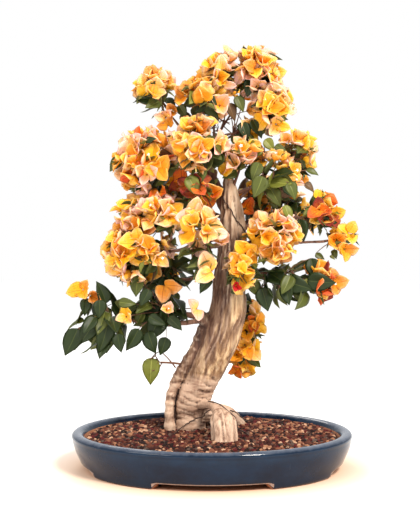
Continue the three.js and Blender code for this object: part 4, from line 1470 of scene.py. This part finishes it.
@dataclass
class Rootlets:
    """Thin dark strands that lie over the roots and the upper trunk."""

    radius: float = 0.75
    strands: tuple[tuple[Point, ...], ...] = (
        (
            (-6, -4, 92), (5, -16, 90), (18, -28, 84), (29, -40, 73), (38, -42, 60), (45, -32, 52),
            (50, -22, 45),
        ),
        ((-2, -6, 74), (-14, 3, 66), (-32, 4, 58), (-44, -6, 52), (-54, -17, 45)),
        ((26, 26, 72), (42, 52, 58), (60, 86, 45)),
        ((10, -8, 368), (20, -14, 355), (32, -13, 340), (41, -9, 328), (48, 2, 316)),
    )

    def build(self, shift: float, surface: BVHTree) -> None:
        """Lays the strands on the wood.

        Args:
            shift: the pot's middle along X.
            surface: the wood's surface.
        """
        builder = PieceBuilder()
        for strand in self.strands:
            line = Limb([(x + shift, y, z) for x, y, z in strand], [self.radius] * len(strand))
            points, radii = line.line(40)
            laid = []
            for point in points:
                hit, normal, _, distance = surface.find_nearest(Vector(point * MM))
                near = np.array(hit) / MM + np.array(normal) * self.radius * 0.8
                weight = smoothstep(14.0, 4.0, distance / MM)
                laid.append(point * (1.0 - weight) + near * weight)
            tube(builder, np.array(laid), radii, 8)
        finish = BladeFinish("rootlet_bark", (58, 42, 36), 0.6, 0.3)
        settle(builder.build("rootlets", [finish.material()]))


@dataclass
class Boughs:
    """The leader and the boughs, with knobbly bark."""

    boughs: list[Bough]
    crook: float = 5.0
    slim: float = 0.75
    slim_in_crown: float = 0.55
    crown_height: float = 420.0

    def build(self, shift: float) -> None:
        """Makes all the limbs above the trunk as one piece of wood.

        Args:
            shift: the pot's middle along X.
        """
        builder = PieceBuilder()
        offset = np.array([shift, 0.0, 0.0])

        def knobs(angle: float, share: float, place: Array) -> float:
            """Small knobs and ridges, in millimetres."""
            return 0.7 * wander(place, 8.0, 3.0) + 0.35 * wander(place, 2.6, 5.0) + 0.25 * math.cos(3 * angle)

        points, radii = LEADER.line(60)
        tube(builder, points + offset, radii, 20, 0, knobs)
        nodes = ["leader"]
        for bough in self.boughs:
            if bough.stands_off:
                slim = self.slim_in_crown if bough.mass.centre[2] > self.crown_height else self.slim
                tube(builder, self.swayed(bough) + offset, bough.radii * slim, 12, 0, knobs)
                nodes.append(f"bough_{bough.mass.name}")
        bark = BarkFinish("bough_bark", (136, 101, 82), (101, 68, 54), (72, 44, 38), (42, 25, 23), 0.75)
        settle(builder.build("boughs", [bark.material()]), nodes)

    def swayed(self, bough: Bough) -> Array:
        """Gives the bough's line a few soft crooks between its two ends.

        Args:
            bough: the bough.

        Returns:
            The crooked line.
        """
        shares = np.linspace(0.0, 1.0, len(bough.points))
        swing = self.crook * np.sin(math.pi * shares) ** 0.7
        ways = [np.array([wander(point, 26.0, seed) for point in bough.points]) for seed in (2.0, 9.0, 4.0)]
        return bough.points + np.stack(ways, -1) * swing[:, None]


# Foliage


@dataclass(frozen=True)
class BladeForm:
    """The shape of a bract or leaf: its sizes, its half-width along its length and its curves."""

    length: float
    width: float
    thickness: float
    profile: tuple[tuple[float, float], ...]
    cup: float
    bowl: float
    recurve: float
    fold: float
    wave: float
    columns: tuple[float, ...] = (-1.0, -0.66, -0.3, -0.04, 0.04, 0.3, 0.66, 1.0)

    def surface(self, rng: random.Random) -> tuple[Array, Array, Array]:
        """Makes one variant of the blade as a closed thin mesh of size 1.

        Args:
            rng: the variant's own random numbers.

        Returns:
            Its corners with the base at the origin, the length along Y and the upper face to Z; its faces
            as rows of four; and for each face how far out it lies, with the midrib as -1, less 10 below.
        """
        cup, bowl = self.cup * rng.uniform(0.6, 1.4), self.bowl * rng.uniform(0.5, 1.4)
        recurve, phase = self.recurve * rng.uniform(0.2, 1.8), rng.uniform(0.0, 6.0)
        twist, lean = rng.uniform(-0.35, 0.35), rng.uniform(-0.12, 0.12)
        slim = rng.uniform(0.8, 1.06)
        rows, cols = len(self.profile), len(self.columns)
        top = np.zeros((rows, cols, 3))
        for i, (along, half) in enumerate(self.profile):
            for j, v in enumerate(self.columns):
                x = v * half * slim * self.width / 2
                z = cup * half * self.width * 0.5 * v * v + self.fold * abs(v) * half * self.width / 2
                z -= bowl * self.length * along * (1.0 - along) * 2.0
                z -= recurve * self.length * along**3
                swing = 10.0 * along + phase + (2.0 if v > 0 else 0.0)
                z += self.wave * abs(v) ** 1.5 * half * math.sin(swing)
                z += twist * x * along
                z -= 0.22 if abs(v) < 0.1 else 0.0
                top[i, j] = (x + lean * self.length * along * along, along * self.length, z)
        under = top.copy()
        under[1:-1, 1:-1, 2] -= self.thickness
        number = np.arange(rows * cols).reshape(rows, cols)
        lower = number.copy()
        inner = np.arange((rows - 2) * (cols - 2)).reshape(rows - 2, cols - 2)
        lower[1:-1, 1:-1] = rows * cols + inner
        corners = np.concatenate([top.reshape(-1, 3), under[1:-1, 1:-1].reshape(-1, 3)])
        above = np.stack([number[:-1, :-1], number[:-1, 1:], number[1:, 1:], number[1:, :-1]], -1)
        below = np.stack([lower[:-1, :-1], lower[1:, :-1], lower[1:, 1:], lower[:-1, 1:]], -1)
        faces = np.concatenate([above.reshape(-1, 4), below.reshape(-1, 4)])
        zone = np.zeros((rows - 1, cols - 1))
        for i in range(rows - 1):
            along = (self.profile[i][0] + self.profile[i + 1][0]) / 2
            for j in range(cols - 1):
                v = (self.columns[j] + self.columns[j + 1]) / 2
                zone[i, j] = -1.0 if abs(v) < 0.02 and along < 0.86 else along + 0.3 * v * v
        return corners, faces, np.concatenate([zone.ravel(), zone.ravel() - 10.0])


BRACT_FORM = BladeForm(
    length=29.0,
    width=28.0,
    thickness=0.4,
    profile=(
        (0.0, 0.1), (0.08, 0.6), (0.2, 0.92), (0.38, 1.0),
        (0.56, 0.95), (0.72, 0.77), (0.87, 0.46), (1.0, 0.03),
    ),
    cup=0.4,
    bowl=0.14,
    recurve=0.14,
    fold=0.06,
    wave=3.0,
)
LEAF_FORM = BladeForm(
    length=36.0,
    width=26.0,
    thickness=0.5,
    profile=(
        (0.0, 0.1), (0.05, 0.54), (0.15, 0.88), (0.29, 1.0), (0.45, 0.95),
        (0.62, 0.76), (0.78, 0.47), (0.91, 0.2), (1.0, 0.03),
    ),
    cup=-0.08,
    bowl=-0.06,
    recurve=0.16,
    fold=0.3,
    wave=1.1,
)
# Zones below these are on a blade's midrib and on its lower face.
RIB_ZONE = -0.5
LOWER_ZONE = -5.0


def bract_slots(tint: Tint, paler: float, zones: Array) -> Array:
    """Gives a bract's material slots, from the throat outward and paler on its outer face.

    Args:
        tint: its tint.
        paler: how far its zones are moved outward.
        zones: the zone of each face.

    Returns:
        The slot of each face.
    """
    lower = zones < LOWER_ZONE
    rib = (zones > LOWER_ZONE) & (zones < RIB_ZONE) | (zones < RIB_ZONE - 10.0)
    place = np.where(lower, zones + 10.14, zones) + paler
    return list(Tint).index(tint) * 6 + np.where(rib, 5, np.digitize(place, (0.2, 0.42, 0.66, 0.88)))


def leaf_slots(green: Green, zones: Array) -> Array:
    """Gives the material slots of a leaf's upper face, midrib and lower face."""
    return list(Green).index(green) * 3 + np.where(zones < LOWER_ZONE, 2, np.where(zones < RIB_ZONE, 1, 0))



def closest(buds: list[Array], point: Array) -> Array:
    """The bud nearest to a place."""
    return min(buds, key=lambda bud: float(np.linalg.norm(bud - point)))


@dataclass
class Spray:
    """The pieces that one part of the crown is gathered in, and the solids that they stand for."""

    nodes: list[str] = field(default_factory=list)
    bracts: PieceBuilder = field(default_factory=PieceBuilder)
    leaves: PieceBuilder = field(default_factory=PieceBuilder)


@dataclass
class Growth:
    """One mass while it grows: its bough, the pieces that it joins and its random numbers."""

    bough: Bough
    spray: Spray
    rng: random.Random

    def __post_init__(self) -> None:
        """Keeps the mass and its space at hand."""
        self.mass = self.bough.mass
        self.centre, self.reach = np.array(self.mass.centre, float), np.array(self.mass.reach, float)

    def holds(self, point: Array, slack: float = 1.0) -> bool:
        """True where a place is within the mass's reach."""
        return float((((point - self.centre) / self.reach) ** 2).sum()) < slack

    def outward(self, point: Array) -> Array:
        """The way from the mass's middle to a place."""
        return unit(point - self.centre)

    def jitter(self, amount: float) -> Array:
        """A small random vector."""
        return np.array([self.rng.uniform(-amount, amount) for _ in range(3)])

    def sideways(self, heading: Array) -> Array:
        """A way off to one side of a shoot."""
        return unit(np.cross(heading, UP + self.jitter(0.6)))

    def tint(self, end: Array) -> Tint:
        """Deals out a tint by the mass's mood, then paints shade with deeper tints low on the plant and low,
        far back or deep in the mass.

        Args:
            end: where the blossom stands.

        Returns:
            Its tint.
        """
        place = (end - self.centre) / self.reach
        # Painted shade: the shade value moves the tint down the ladder.
        shade = -0.9 * float(place[2]) + 0.25 * float(place[1]) + 0.5 * (0.6 - float(np.linalg.norm(place)))
        shade += min((430.0 - float(end[2])) / 330.0, 0.3)
        tint = self.rng.choices(list(Tint), weights=self.mass.mood.value, k=1)[0]
        return self.deeper(tint, int(max(0.0, shade) * self.rng.uniform(0.6, 4.2)))

    def deeper(self, tint: Tint, steps: int) -> Tint:
        """The tint some steps deeper, or paler where steps is negative; one off the ladder stays."""
        ladder = self.mass.mood.ladder
        return ladder[min(max(ladder.index(tint) + steps, 0), len(ladder) - 1)] if tint in ladder else tint


@dataclass
class Foliage:
    """Grows every mass from its stem by the solids' rule, carried on to finer twigs."""

    boughs: list[Bough]
    shift: float
    variants: int = 18
    fineness: float = 1.9
    undergrowth: float = 0.85
    strays: int = 7
    show_of_bloom: float = 0.86
    inset: float = 24.0
    leafy_inset: float = 8.0
    limb_gap: float = 2.0
    stalk: float = 9.0
    leaf_step: float = 9.0
    flare: float = 0.78
    blossom_room: float = 15.0
    leaf_off: float = 14.0
    flower_share: float = 0.14
    twigs: PieceBuilder = field(default_factory=PieceBuilder)
    flowers: PieceBuilder = field(default_factory=PieceBuilder)

    def __post_init__(self) -> None:
        """Lays out the blade variants and the limbs to keep off."""
        rng = random.Random(3)
        self.bract_shapes = [BRACT_FORM.surface(rng) for _ in range(self.variants)]
        self.leaf_shapes = [LEAF_FORM.surface(rng) for _ in range(self.variants)]
        lines = [limb.line(60) for limb in (*LIMBS.values(), *ROOTS)]
        lines += [(b.points[:-3], b.radii[:-3]) for b in self.boughs if b.stands_off]
        self.limb_points = np.concatenate([points for points, _ in lines])
        self.limb_radii = np.concatenate([radii for _, radii in lines])
        self.blossoms: list[Array] = []
        self.leaf_middles: list[Array] = []

    def clear(self, point: Array) -> bool:
        """True where a place is off the limbs."""
        gaps = np.linalg.norm(self.limb_points - point, axis=1) - self.limb_radii
        return bool(gaps.min() > self.limb_gap)

    def blade(
        self,
        builder: PieceBuilder,
        shapes: list[BladeShape],
        base: Array,
        along: Array,
        face: Array,
        size: float,
        paint: Callable[[Array], Array],
        rng: random.Random,
    ) -> None:
        """Adds one bract or leaf.

        Args:
            builder: the piece that it joins.
            shapes: the variants to choose from.
            base: where it is attached.
            along: where its tip points.
            face: where its upper face looks.
            size: its size against the form's.
            paint: gives each face's material slot from its zone.
            rng: the random numbers to choose with.
        """
        corners, faces, zones = rng.choice(shapes)
        length = unit(along)
        side = unit(np.cross(length, face))
        upper = np.cross(side, length)
        turned = corners * size @ np.stack([side, length, upper])
        builder.add(turned + base + (self.shift, 0.0, 0.0), faces, paint(zones))

    def leaf_blade(
        self, growth: Growth, base: Array, along: Array, face: Array, size: float, green: Green
    ) -> None:
        """Adds the blade of one leaf of a mass."""
        paint = partial(leaf_slots, green)
        self.blade(growth.spray.leaves, self.leaf_shapes, base, along, face, size, paint, growth.rng)

    def twig(
        self, start: Array, end: Array, bow: Array, radii: tuple[float, float], slot: int, steps: int = 6
    ) -> None:
        """Adds one bowed tapering twig.

        Args:
            start: where it leaves the wood.
            end: its tip.
            bow: how far its middle is drawn aside.
            radii: its radius at both ends.
            slot: its material slot.
            steps: how many places its line has.
        """
        points = bowed(start, (start + end) / 2 + bow, end, steps)
        sides = 5 if steps > 4 else 4
        tube(self.twigs, points + (self.shift, 0.0, 0.0), np.linspace(*radii, steps), sides, slot)

    def blossom(
        self, growth: Growth, base: Array, axis: Array, size: float, tint: Tint, slack: float = 1.06
    ) -> None:
        """Adds three bracts round an axis, with now and then a small pale flower inside all three.

        Args:
            growth: its mass.
            base: where it leaves its stalk.
            axis: where it opens to.
            size: its size against the form's.
            tint: its tint.
            slack: how far its tips may stand past the mass's reach, squared.
        """
        rng = growth.rng
        out = unit(axis)
        across = unit(np.cross(out, UP if abs(out[2]) < 0.9 else np.array([1.0, 0.0, 0.0])))
        over = np.cross(out, across)
        turn = rng.uniform(0.0, math.tau)
        paler = rng.uniform(-0.14, 0.14)
        flare = self.flare * rng.uniform(0.4, 1.35)
        opened = 0
        for k in range(3):
            angle = turn + math.tau * k / 3 + rng.uniform(-0.25, 0.25)
            radial = across * math.cos(angle) + over * math.sin(angle)
            lean = flare * rng.uniform(0.8, 1.2)
            along = out * math.cos(lean) + radial * math.sin(lean)
            grown = size * rng.uniform(0.88, 1.08)
            paint = partial(bract_slots, growth.deeper(tint, rng.choice((-1, 0, 0, 0, 1))), paler)
            if not growth.holds(base + along * BRACT_FORM.length * grown, slack):
                grown *= 0.78
                if not growth.holds(base + along * BRACT_FORM.length * grown, slack + 0.04):
                    continue
            foot, face = base + radial * 0.6, out - radial
            self.blade(growth.spray.bracts, self.bract_shapes, foot, along, face, grown, paint, rng)
            opened += 1
        if rng.random() < self.flower_share:
            toward = unit(out + growth.jitter(0.25))
            roll = UP + growth.jitter(0.3)
            if opened == 3:
                self.flower(base, toward, roll, size)

    def flower(self, base: Array, axis: Array, roll: Array, size: float) -> None:
        """Adds a small pale tube with a five-lobed star at its end.

        Args:
            base: where it leaves the stalk.
            axis: where it opens to.
            roll: what its first lobe is turned from.
            size: its size against the form's.
        """
        end = base + axis * 15.0 * size
        place = np.array([self.shift, 0.0, 0.0])
        points = np.array([base, base + axis * 7.0 * size, end])
        tube(self.flowers, points + place, np.array([0.7, 1.1, 0.8]) * size, 6, 0)
        across = unit(np.cross(axis, roll))
        over = np.cross(axis, across)
        rim = []
        for k in range(10):
            reach = (3.4 if k % 2 == 0 else 1.5) * size
            angle = math.tau * k / 10
            rim.append(end + (across * math.cos(angle) + over * math.sin(angle)) * reach + axis * 0.9 * size)
        corners = np.array([*rim, end + axis * 0.3 * size, end - axis * 0.4 * size]) + place
        ring = np.arange(10)
        above = np.stack([np.full(10, 10), ring, np.roll(ring, -1)], -1)
        below = np.stack([np.full(10, 11), np.roll(ring, -1), ring], -1)
        self.flowers.add(corners, np.concatenate([above, below]), 1)

    def leaf(self, growth: Growth, base: Array, along: Array, size: float) -> bool:
        """Adds one leaf on a short stalk, where it stays within the mass.

        Args:
            growth: its mass.
            base: where its stalk leaves the twig.
            along: where the stalk points.
            size: its size against the form's.

        Returns:
            Whether there was room for it.
        """
        rng, mass = growth.rng, growth.mass
        aim = unit(along)
        end = base + aim * self.stalk * rng.uniform(0.5, 1.1)
        hang = unit(aim - UP * rng.uniform(0.0, 1.7) * mass.droop + growth.jitter(0.35))
        tip = end + hang * LEAF_FORM.length * size
        middle = (tip + end) / 2
        if not (growth.holds(tip, 1.06) and self.clear(tip) and self.clear(middle)):
            return False
        if shows_sky(middle, 3.0) or nearest(self.blossoms, middle) < self.leaf_off:
            return False
        if not claim(self.leaf_middles, middle, mass.leaf_room):
            return False
        self.twig(base, end, UP * 0.8, (0.55, 0.42), 1, 3)
        green = rng.choices(list(Green), weights=(12, 3, 1, 1) if mass.low else (6, 7, 3, 1), k=1)[0]
        face = UP * 0.5 + growth.outward(end) + growth.jitter(0.8)
        self.leaf_blade(growth, end, hang, face, size, green)
        return True

    def outer_ends(self, growth: Growth, inner: Array) -> list[Array]:
        """Spreads the ends of the outer shoots, drawn together in lobes where the mass blooms.

        Args:
            growth: the mass.
            inner: how far out the ends may lie along each axis.

        Returns:
            The ends.
        """
        mass, rng = growth.mass, growth.rng
        lobes = spiral(max(3, round(mass.shoots / 2.4)), mass.centre[1])
        ends = []
        for way in spiral(round(mass.shoots * self.fineness), mass.centre[0]):
            lobe = max(lobes, key=lambda w: float(w @ way))
            pulled = way if mass.leafy else unit(way * 0.5 + lobe * 0.5 * rng.uniform(0.5, 1.5))
            fill = 1.0 if mass.leafy else 0.55 + 0.45 * float(lobe @ pulled) ** 2
            length = rng.uniform(0.55, 1.0) ** 0.5 * fill
            ends.append(growth.centre + pulled * inner * length + growth.jitter(3.0))
        return ends

    def flowering(self, growth: Growth, ends: list[Array]) -> list[bool]:
        """Picks the outer shoots that bloom: those that reach farthest and highest.

        Args:
            growth: the mass.
            ends: the ends of its outer shoots.

        Returns:
            Whether each one blooms.
        """
        mass, root = growth.mass, growth.bough.stem[0]
        ranks = [float(np.linalg.norm(e - root)) + 0.7 * float(e[2] - growth.centre[2]) for e in ends]
        share = mass.bloom * self.show_of_bloom if mass.bloom > 0.8 else mass.bloom
        limit = sorted(ranks, reverse=True)[min(int(len(ranks) * share), len(ranks) - 1)]
        return [mass.bloom > 0 and rank >= limit for rank in ranks]

    def grow(self, growth: Growth) -> None:
        """Grows one mass.

        Args:
            growth: the mass.
        """
        mass, bough, rng = growth.mass, growth.bough, growth.rng
        centre, reach = growth.centre, growth.reach
        root, heart = bough.stem
        thick = float(bough.radii[-1]) if bough.stands_off else mass.thick
        self.twig(root, heart, UP * 1.5, (thick * 0.95, 1.5), 0)
        buds = [root + (heart - root) * t for t in (0.4, 0.7, 0.95)]
        inner = np.maximum(reach - self.inset - (self.leafy_inset if mass.leafy else 0.0), reach * 0.4)
        outer = self.outer_ends(growth, inner)
        inward = spiral(round(mass.shoots * self.undergrowth), mass.centre[2])
        under = [centre + way * inner * rng.uniform(0.3, 0.85) for way in inward]
        outer.sort(key=lambda e: float(np.linalg.norm(e - root)))
        flowering = self.flowering(growth, outer) + [False] * len(under)
        for end, blooms in zip(outer + under, flowering):
            bud = closest(buds, end)
            if not (self.clear(end) and self.clear((bud + 2 * end) / 3)):
                continue
            bow = UP * rng.uniform(0.0, 4.0) + growth.jitter(2.5)
            heading = unit(end - bud)
            self.twig(bud, end, bow, (1.0, 0.55), 0)
            buds += [bud + (end - bud) * t + bow * 0.5 for t in (0.4, 0.65)]
            if blooms:
                self.bunch(growth, end, heading)
            else:
                self.leafy(growth, bud, end, heading)
        for way in spiral(self.strays if mass.bloom > 0.4 else 0, mass.centre[1] + 1.0):
            tip = centre + way * reach * rng.uniform(0.8, 0.95)
            start = closest(buds, tip)
            if self.clear(tip) and self.clear((start + tip) / 2) and not shows_sky(tip, 8.0):
                self.stray(growth, start, tip)

    def stray(self, growth: Growth, start: Array, tip: Array) -> None:
        """Adds a thin shoot that stands out between the blossoms, with small young leaves by turns.

        Args:
            growth: its mass.
            start: where it leaves the wood.
            tip: its tip.
        """
        rng = growth.rng
        heading, bow = unit(tip - start), UP * rng.uniform(1.0, 5.0) + growth.jitter(2.0)
        self.twig(start, tip, bow, (0.75, 0.4), 1)
        for k, share in enumerate((0.55, 0.72, 0.86, 1.0)):
            base = start + (tip - start) * share + bow * 2.0 * share * (1.0 - share)
            sideways = growth.sideways(heading) * (1.0 if k % 2 == 0 else -1.0)
            along = unit(sideways * (0.2 if k == 3 else 1.0) + heading * 0.8 + growth.jitter(0.3))
            size = rng.uniform(0.28, 0.5)
            if not growth.holds(base + along * LEAF_FORM.length * size, 1.1):
                continue
            green = rng.choices(list(Green), weights=(2, 5, 5, 2), k=1)[0]
            face = UP * 0.6 - np.cross(heading, sideways) * 0.3 + growth.jitter(0.5)
            self.leaf_blade(growth, base, along, face, size, green)

    def bunch(self, growth: Growth, end: Array, heading: Array) -> None:
        """Adds a bunch of blossoms at a shoot's end, with a leaf or two below it.

        Args:
            growth: its mass.
            end: the shoot's end.
            heading: where the shoot points.
        """
        rng = growth.rng
        outward = growth.outward(end)
        axis = unit(heading * 0.6 + outward * 0.8 + UP * 0.55 + growth.jitter(0.35))
        across = unit(np.cross(axis, growth.jitter(1.0)))
        over = np.cross(axis, across)
        number = rng.choice((3, 4, 4, 5))
        for k in range(number):
            angle = math.tau * k / number + rng.uniform(-0.5, 0.5)
            lean = rng.uniform(0.15, 1.3)
            radial = across * math.cos(angle) + over * math.sin(angle)
            out = unit(axis * math.cos(lean) + radial * math.sin(lean))
            size = rng.uniform(0.74, 1.04)
            base = end + out * self.stalk * rng.uniform(0.6, 1.9)
            if not (growth.holds(base + out * 10.0) and self.clear(base + out * 18.0)):
                continue
            if shows_sky(base + out * 14.0, 6.0):
                continue
            if not claim(self.blossoms, base + out * 12.0, self.blossom_room * size):
                continue
            self.twig(end, base, UP * 0.6, (0.6, 0.5), 1, 3)
            self.blossom(growth, base, out, size, growth.tint(base))
        for _ in range(rng.choice((1, 2, 3))):
            sideways = growth.sideways(heading) * rng.choice((-1.0, 1.0))
            base = end - heading * rng.uniform(2.0, 12.0)
            along = unit(sideways + outward * 0.6 + UP * rng.uniform(-0.6, 0.3))
            self.leaf(growth, base, along, rng.uniform(0.55, 0.86))

    def leafy(self, growth: Growth, start: Array, end: Array, heading: Array) -> None:
        """Adds leaves by turns along a shoot and one at its end.

        Args:
            growth: their mass.
            start: where the shoot leaves the wood.
            end: the shoot's end.
            heading: where the shoot points.
        """
        outward = growth.outward(end)
        number = max(3, int(float(np.linalg.norm(end - start)) / self.leaf_step))
        for k in range(number + 1):
            base = start + (end - start) * (0.3 + 0.7 * k / number)
            hand = 1.0 if k % 2 == 0 else -1.0
            for _ in range(3):
                sideways = growth.sideways(heading) * hand
                along = sideways + heading * 0.5 + outward * 0.4 + growth.jitter(0.4)
                size = growth.rng.uniform(0.62, 1.12)
                if self.leaf(growth, base, heading if k == number else along, size):
                    break

    def build(self) -> None:
        """Grows all the masses and gathers them by part of the crown."""
        bract_finishes = [
            BladeFinish(f"bract_{tint.value}_{i}", colour, 0.6, 0.15, 0.3).material()
            for tint in Tint
            for i, colour in enumerate(BRACT_COLOURS[tint])
        ]
        leaf_finishes = [
            BladeFinish(f"leaf_{green.value}_{i}", colour, 0.42 if i < 2 else 0.6, 0.22).material()
            for green in Green
            for i, colour in enumerate(LEAF_COLOURS[green])
        ]
        sprays: dict[str, Spray] = {}
        for mass in MASSES:
            sprays.setdefault(mass.part, Spray()).nodes.append(f"mass_{mass.name}")
        self.hanging_leaf(sprays["left"])
        self.show(sprays)
        for number, bough in enumerate(self.boughs):
            self.grow(Growth(bough, sprays[bough.mass.part], random.Random(number + 11)))
        for part, spray in sprays.items():
            settle(spray.bracts.build(f"bracts_{part}", bract_finishes), spray.nodes)
            settle(spray.leaves.build(f"leaves_{part}", leaf_finishes))
        wood = [
            BladeFinish("twig_bark", (104, 70, 54), 0.7, 0.25).material(),
            BladeFinish("stalk_green", (118, 104, 58), 0.6, 0.25).material(),
        ]
        settle(self.twigs.build("twigs", wood))
        pale = [
            BladeFinish("flower_tube", (232, 206, 130), 0.6, 0.2, 0.2).material(),
            BladeFinish("flower_star", (255, 250, 234), 0.6, 0.2, 0.2).material(),
        ]
        settle(self.flowers.build("small_flowers", pale))

    def show(self, sprays: dict[str, Spray]) -> None:
        """Adds the blossoms and leaves with a place of their own, each on a twig from its mass's heart.

        Args:
            sprays: the pieces by part of the crown.
        """
        rng = random.Random(8)
        growths = {b.mass.name: Growth(b, sprays[b.mass.part], rng) for b in self.boughs}
        for piece in SHOWPIECES:
            growth = growths[piece.mass]
            base, out = np.array(piece.place, float), unit(np.array(piece.facing))
            self.blossoms.append(base + out * 12.0 * piece.size)
            self.twig(growth.bough.stem[1], base, UP * 5.0, (0.9, 0.55), 0)
            self.blossom(growth, base, out, piece.size, piece.tint, 1.5)
        for leaf in SHOWN_LEAVES:
            growth = growths[leaf.mass]
            base, tip = np.array(leaf.base, float), np.array(leaf.tip, float)
            self.leaf_middles.append((base + tip) / 2)
            self.twig(growth.bough.stem[1], base, UP * 6.0, (0.8, 0.5), 0)
            size = float(np.linalg.norm(tip - base)) / LEAF_FORM.length
            face = np.array([0.1, -1.0, 0.3]) + growth.jitter(0.45)
            self.leaf_blade(growth, base, tip - base, face, size, leaf.green)

    def hanging_leaf(self, spray: Spray) -> None:
        """Adds the one fresh leaf that hangs alone on a thin twig from the side stem.

        Args:
            spray: the pieces that it joins.
        """
        start = np.array([-50.0, 12.0, 133.0])
        bend = np.array([-70.0, 6.0, 156.0])
        end = np.array([-82.0, 3.0, 148.0])
        self.twig(start, bend, UP * 3.0, (1.1, 0.8), 0)
        self.twig(bend, end, UP * 4.0, (0.8, 0.6), 0)
        self.leaf_middles += [end - UP * drop for drop in (-8.0, 4.0, 16.0, 28.0)]
        paint = partial(leaf_slots, Green.FRESH)
        down, front = np.array([-0.1, 0.0, -1.0]), np.array([0.1, -1.0, 0.2])
        self.blade(spray.leaves, self.leaf_shapes, end, down, front, 1.06, paint, random.Random(2))


# Stage


@dataclass
class Studio:
    """A pale floor, soft light and the camera at the photo's viewing angle.

    The lens and the floor are in millimetres, the camera's place in metres and its tilt in degrees.
    """

    lens: float = 65.57
    distance: float = 1.3
    eye: float = 0.308
    aside: float = -0.0027
    tilt: float = 1.357
    half_floor: float = 6000.0
    floor_level: float = -0.4

    def floor(self) -> None:
        """Makes the floor, with a painted warm shadow round and under the pot, and white away from it."""
        builder = PieceBuilder()
        ways = ((-1, -1), (1, -1), (1, 1), (-1, 1))
        corners = [(x * self.half_floor, y * self.half_floor, self.floor_level) for x, y in ways]
        builder.add(np.array(corners), np.array([[0, 1, 2, 3]]))
        material, shader = blank_material("pale_floor")
        desk = NodeDesk(material)
        # Painted shadow: the floor turns darker and warmer toward the pot's middle.
        away = desk.add("ShaderNodeVectorMath", {0: desk.stretched((1.0, 1.284, 0.0))}, operation="LENGTH")
        share = desk.span(away.outputs["Value"], 0.14, 0.3, (0.0, 1.0))
        stops = [
            (0.0, (150, 116, 92)), (0.1, (176, 138, 110)), (0.16, (236, 200, 170)), (1.0, (255, 255, 255)),
        ]
        colour = desk.ramp(share, stops)
        desk.fill(shader, {"Base Color": colour, "Roughness": 0.9, "Specular IOR Level": 0.1})
        builder.build("floor", [material], smooth=False)

    def lamp(self, name: str, place: Point, aim: Point, size: tuple[float, float], power: float) -> None:
        """Adds one soft lamp.

        Args:
            name: its name.
            place: where it stands, in metres.
            aim: where it is turned to.
            size: its width and height.
            power: its power in watts.
        """
        data = bpy.data.lights.new(name, "AREA")
        data.shape = "ELLIPSE"
        data.size, data.size_y = size
        data.energy = power
        data.color = linear((255, 248, 238))[:3]
        lamp = bpy.data.objects.new(name, data)
        lamp.location = place
        lamp.rotation_euler = (Vector(aim) - Vector(place)).to_track_quat("-Z", "Y").to_euler()
        bpy.context.scene.collection.objects.link(lamp)

    def light(self) -> None:
        """Adds the lamps and the white surround."""
        self.lamp("key", (0.8, -1.3, 1.5), (0.0, 0.0, 0.3), (0.5, 0.5), 50.0)
        self.lamp("back", (-0.4, 1.3, 1.5), (0.0, 0.0, 0.35), (0.8, 0.8), 12.0)
        self.lamp("window", (-0.82, -0.82, 0.7), (-0.08, -0.13, 0.05), (0.8, 0.06), 5.0)
        world = bpy.data.worlds.new("surround")
        bpy.context.scene.world = world
        world.use_nodes = True
        background = world.node_tree.nodes["Background"]
        background.inputs["Color"].default_value = (1.0, 1.0, 1.0, 1.0)
        background.inputs["Strength"].default_value = 1.0
        bpy.context.scene.view_settings.view_transform = "Standard"

    def camera(self, shift: float) -> None:
        """Sets the camera.

        Args:
            shift: the pot's middle along X.
        """
        data = bpy.data.cameras.new("camera")
        data.lens = self.lens
        data.sensor_width = 36.0
        data.sensor_fit = "AUTO"
        data.clip_start = 0.01
        camera = bpy.data.objects.new("camera", data)
        camera.location = (self.aside + shift * MM, -self.distance, self.eye)
        camera.rotation_euler = (math.radians(90.0 - self.tilt), 0.0, 0.0)
        bpy.context.scene.collection.objects.link(camera)
        bpy.context.scene.camera = camera


def main() -> None:
    """Builds the pot, the soil, the wood, the foliage and the stage in order."""
    logging.basicConfig(level=logging.INFO, format="%(name)s %(message)s")
    for leftover in list(bpy.data.objects):
        bpy.data.objects.remove(leftover)
    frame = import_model()
    low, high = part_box("pot")
    shift = float(low.x + high.x) / 2 / MM
    studio = Studio()
    studio.camera(shift)
    Pot().build(shift)
    soil_solid = frame["nodes"]["soil"]
    Soil(BVHTree.FromObject(soil_solid, bpy.context.evaluated_depsgraph_get())).build(shift)
    trunk = Trunk()
    trunk.build(shift)
    Rootlets().build(shift, trunk.surface)
    boughs = [Bough.of(mass) for mass in MASSES]
    Boughs(boughs).build(shift)
    Foliage(boughs, shift).build()
    studio.floor()
    studio.light()
    total = sum(len(p.vertices) - 2 for o in bpy.data.objects if o.type == "MESH" for p in o.data.polygons)
    LOG.info("%d triangles with the solids", total)


if __name__ == "__main__":
    main()
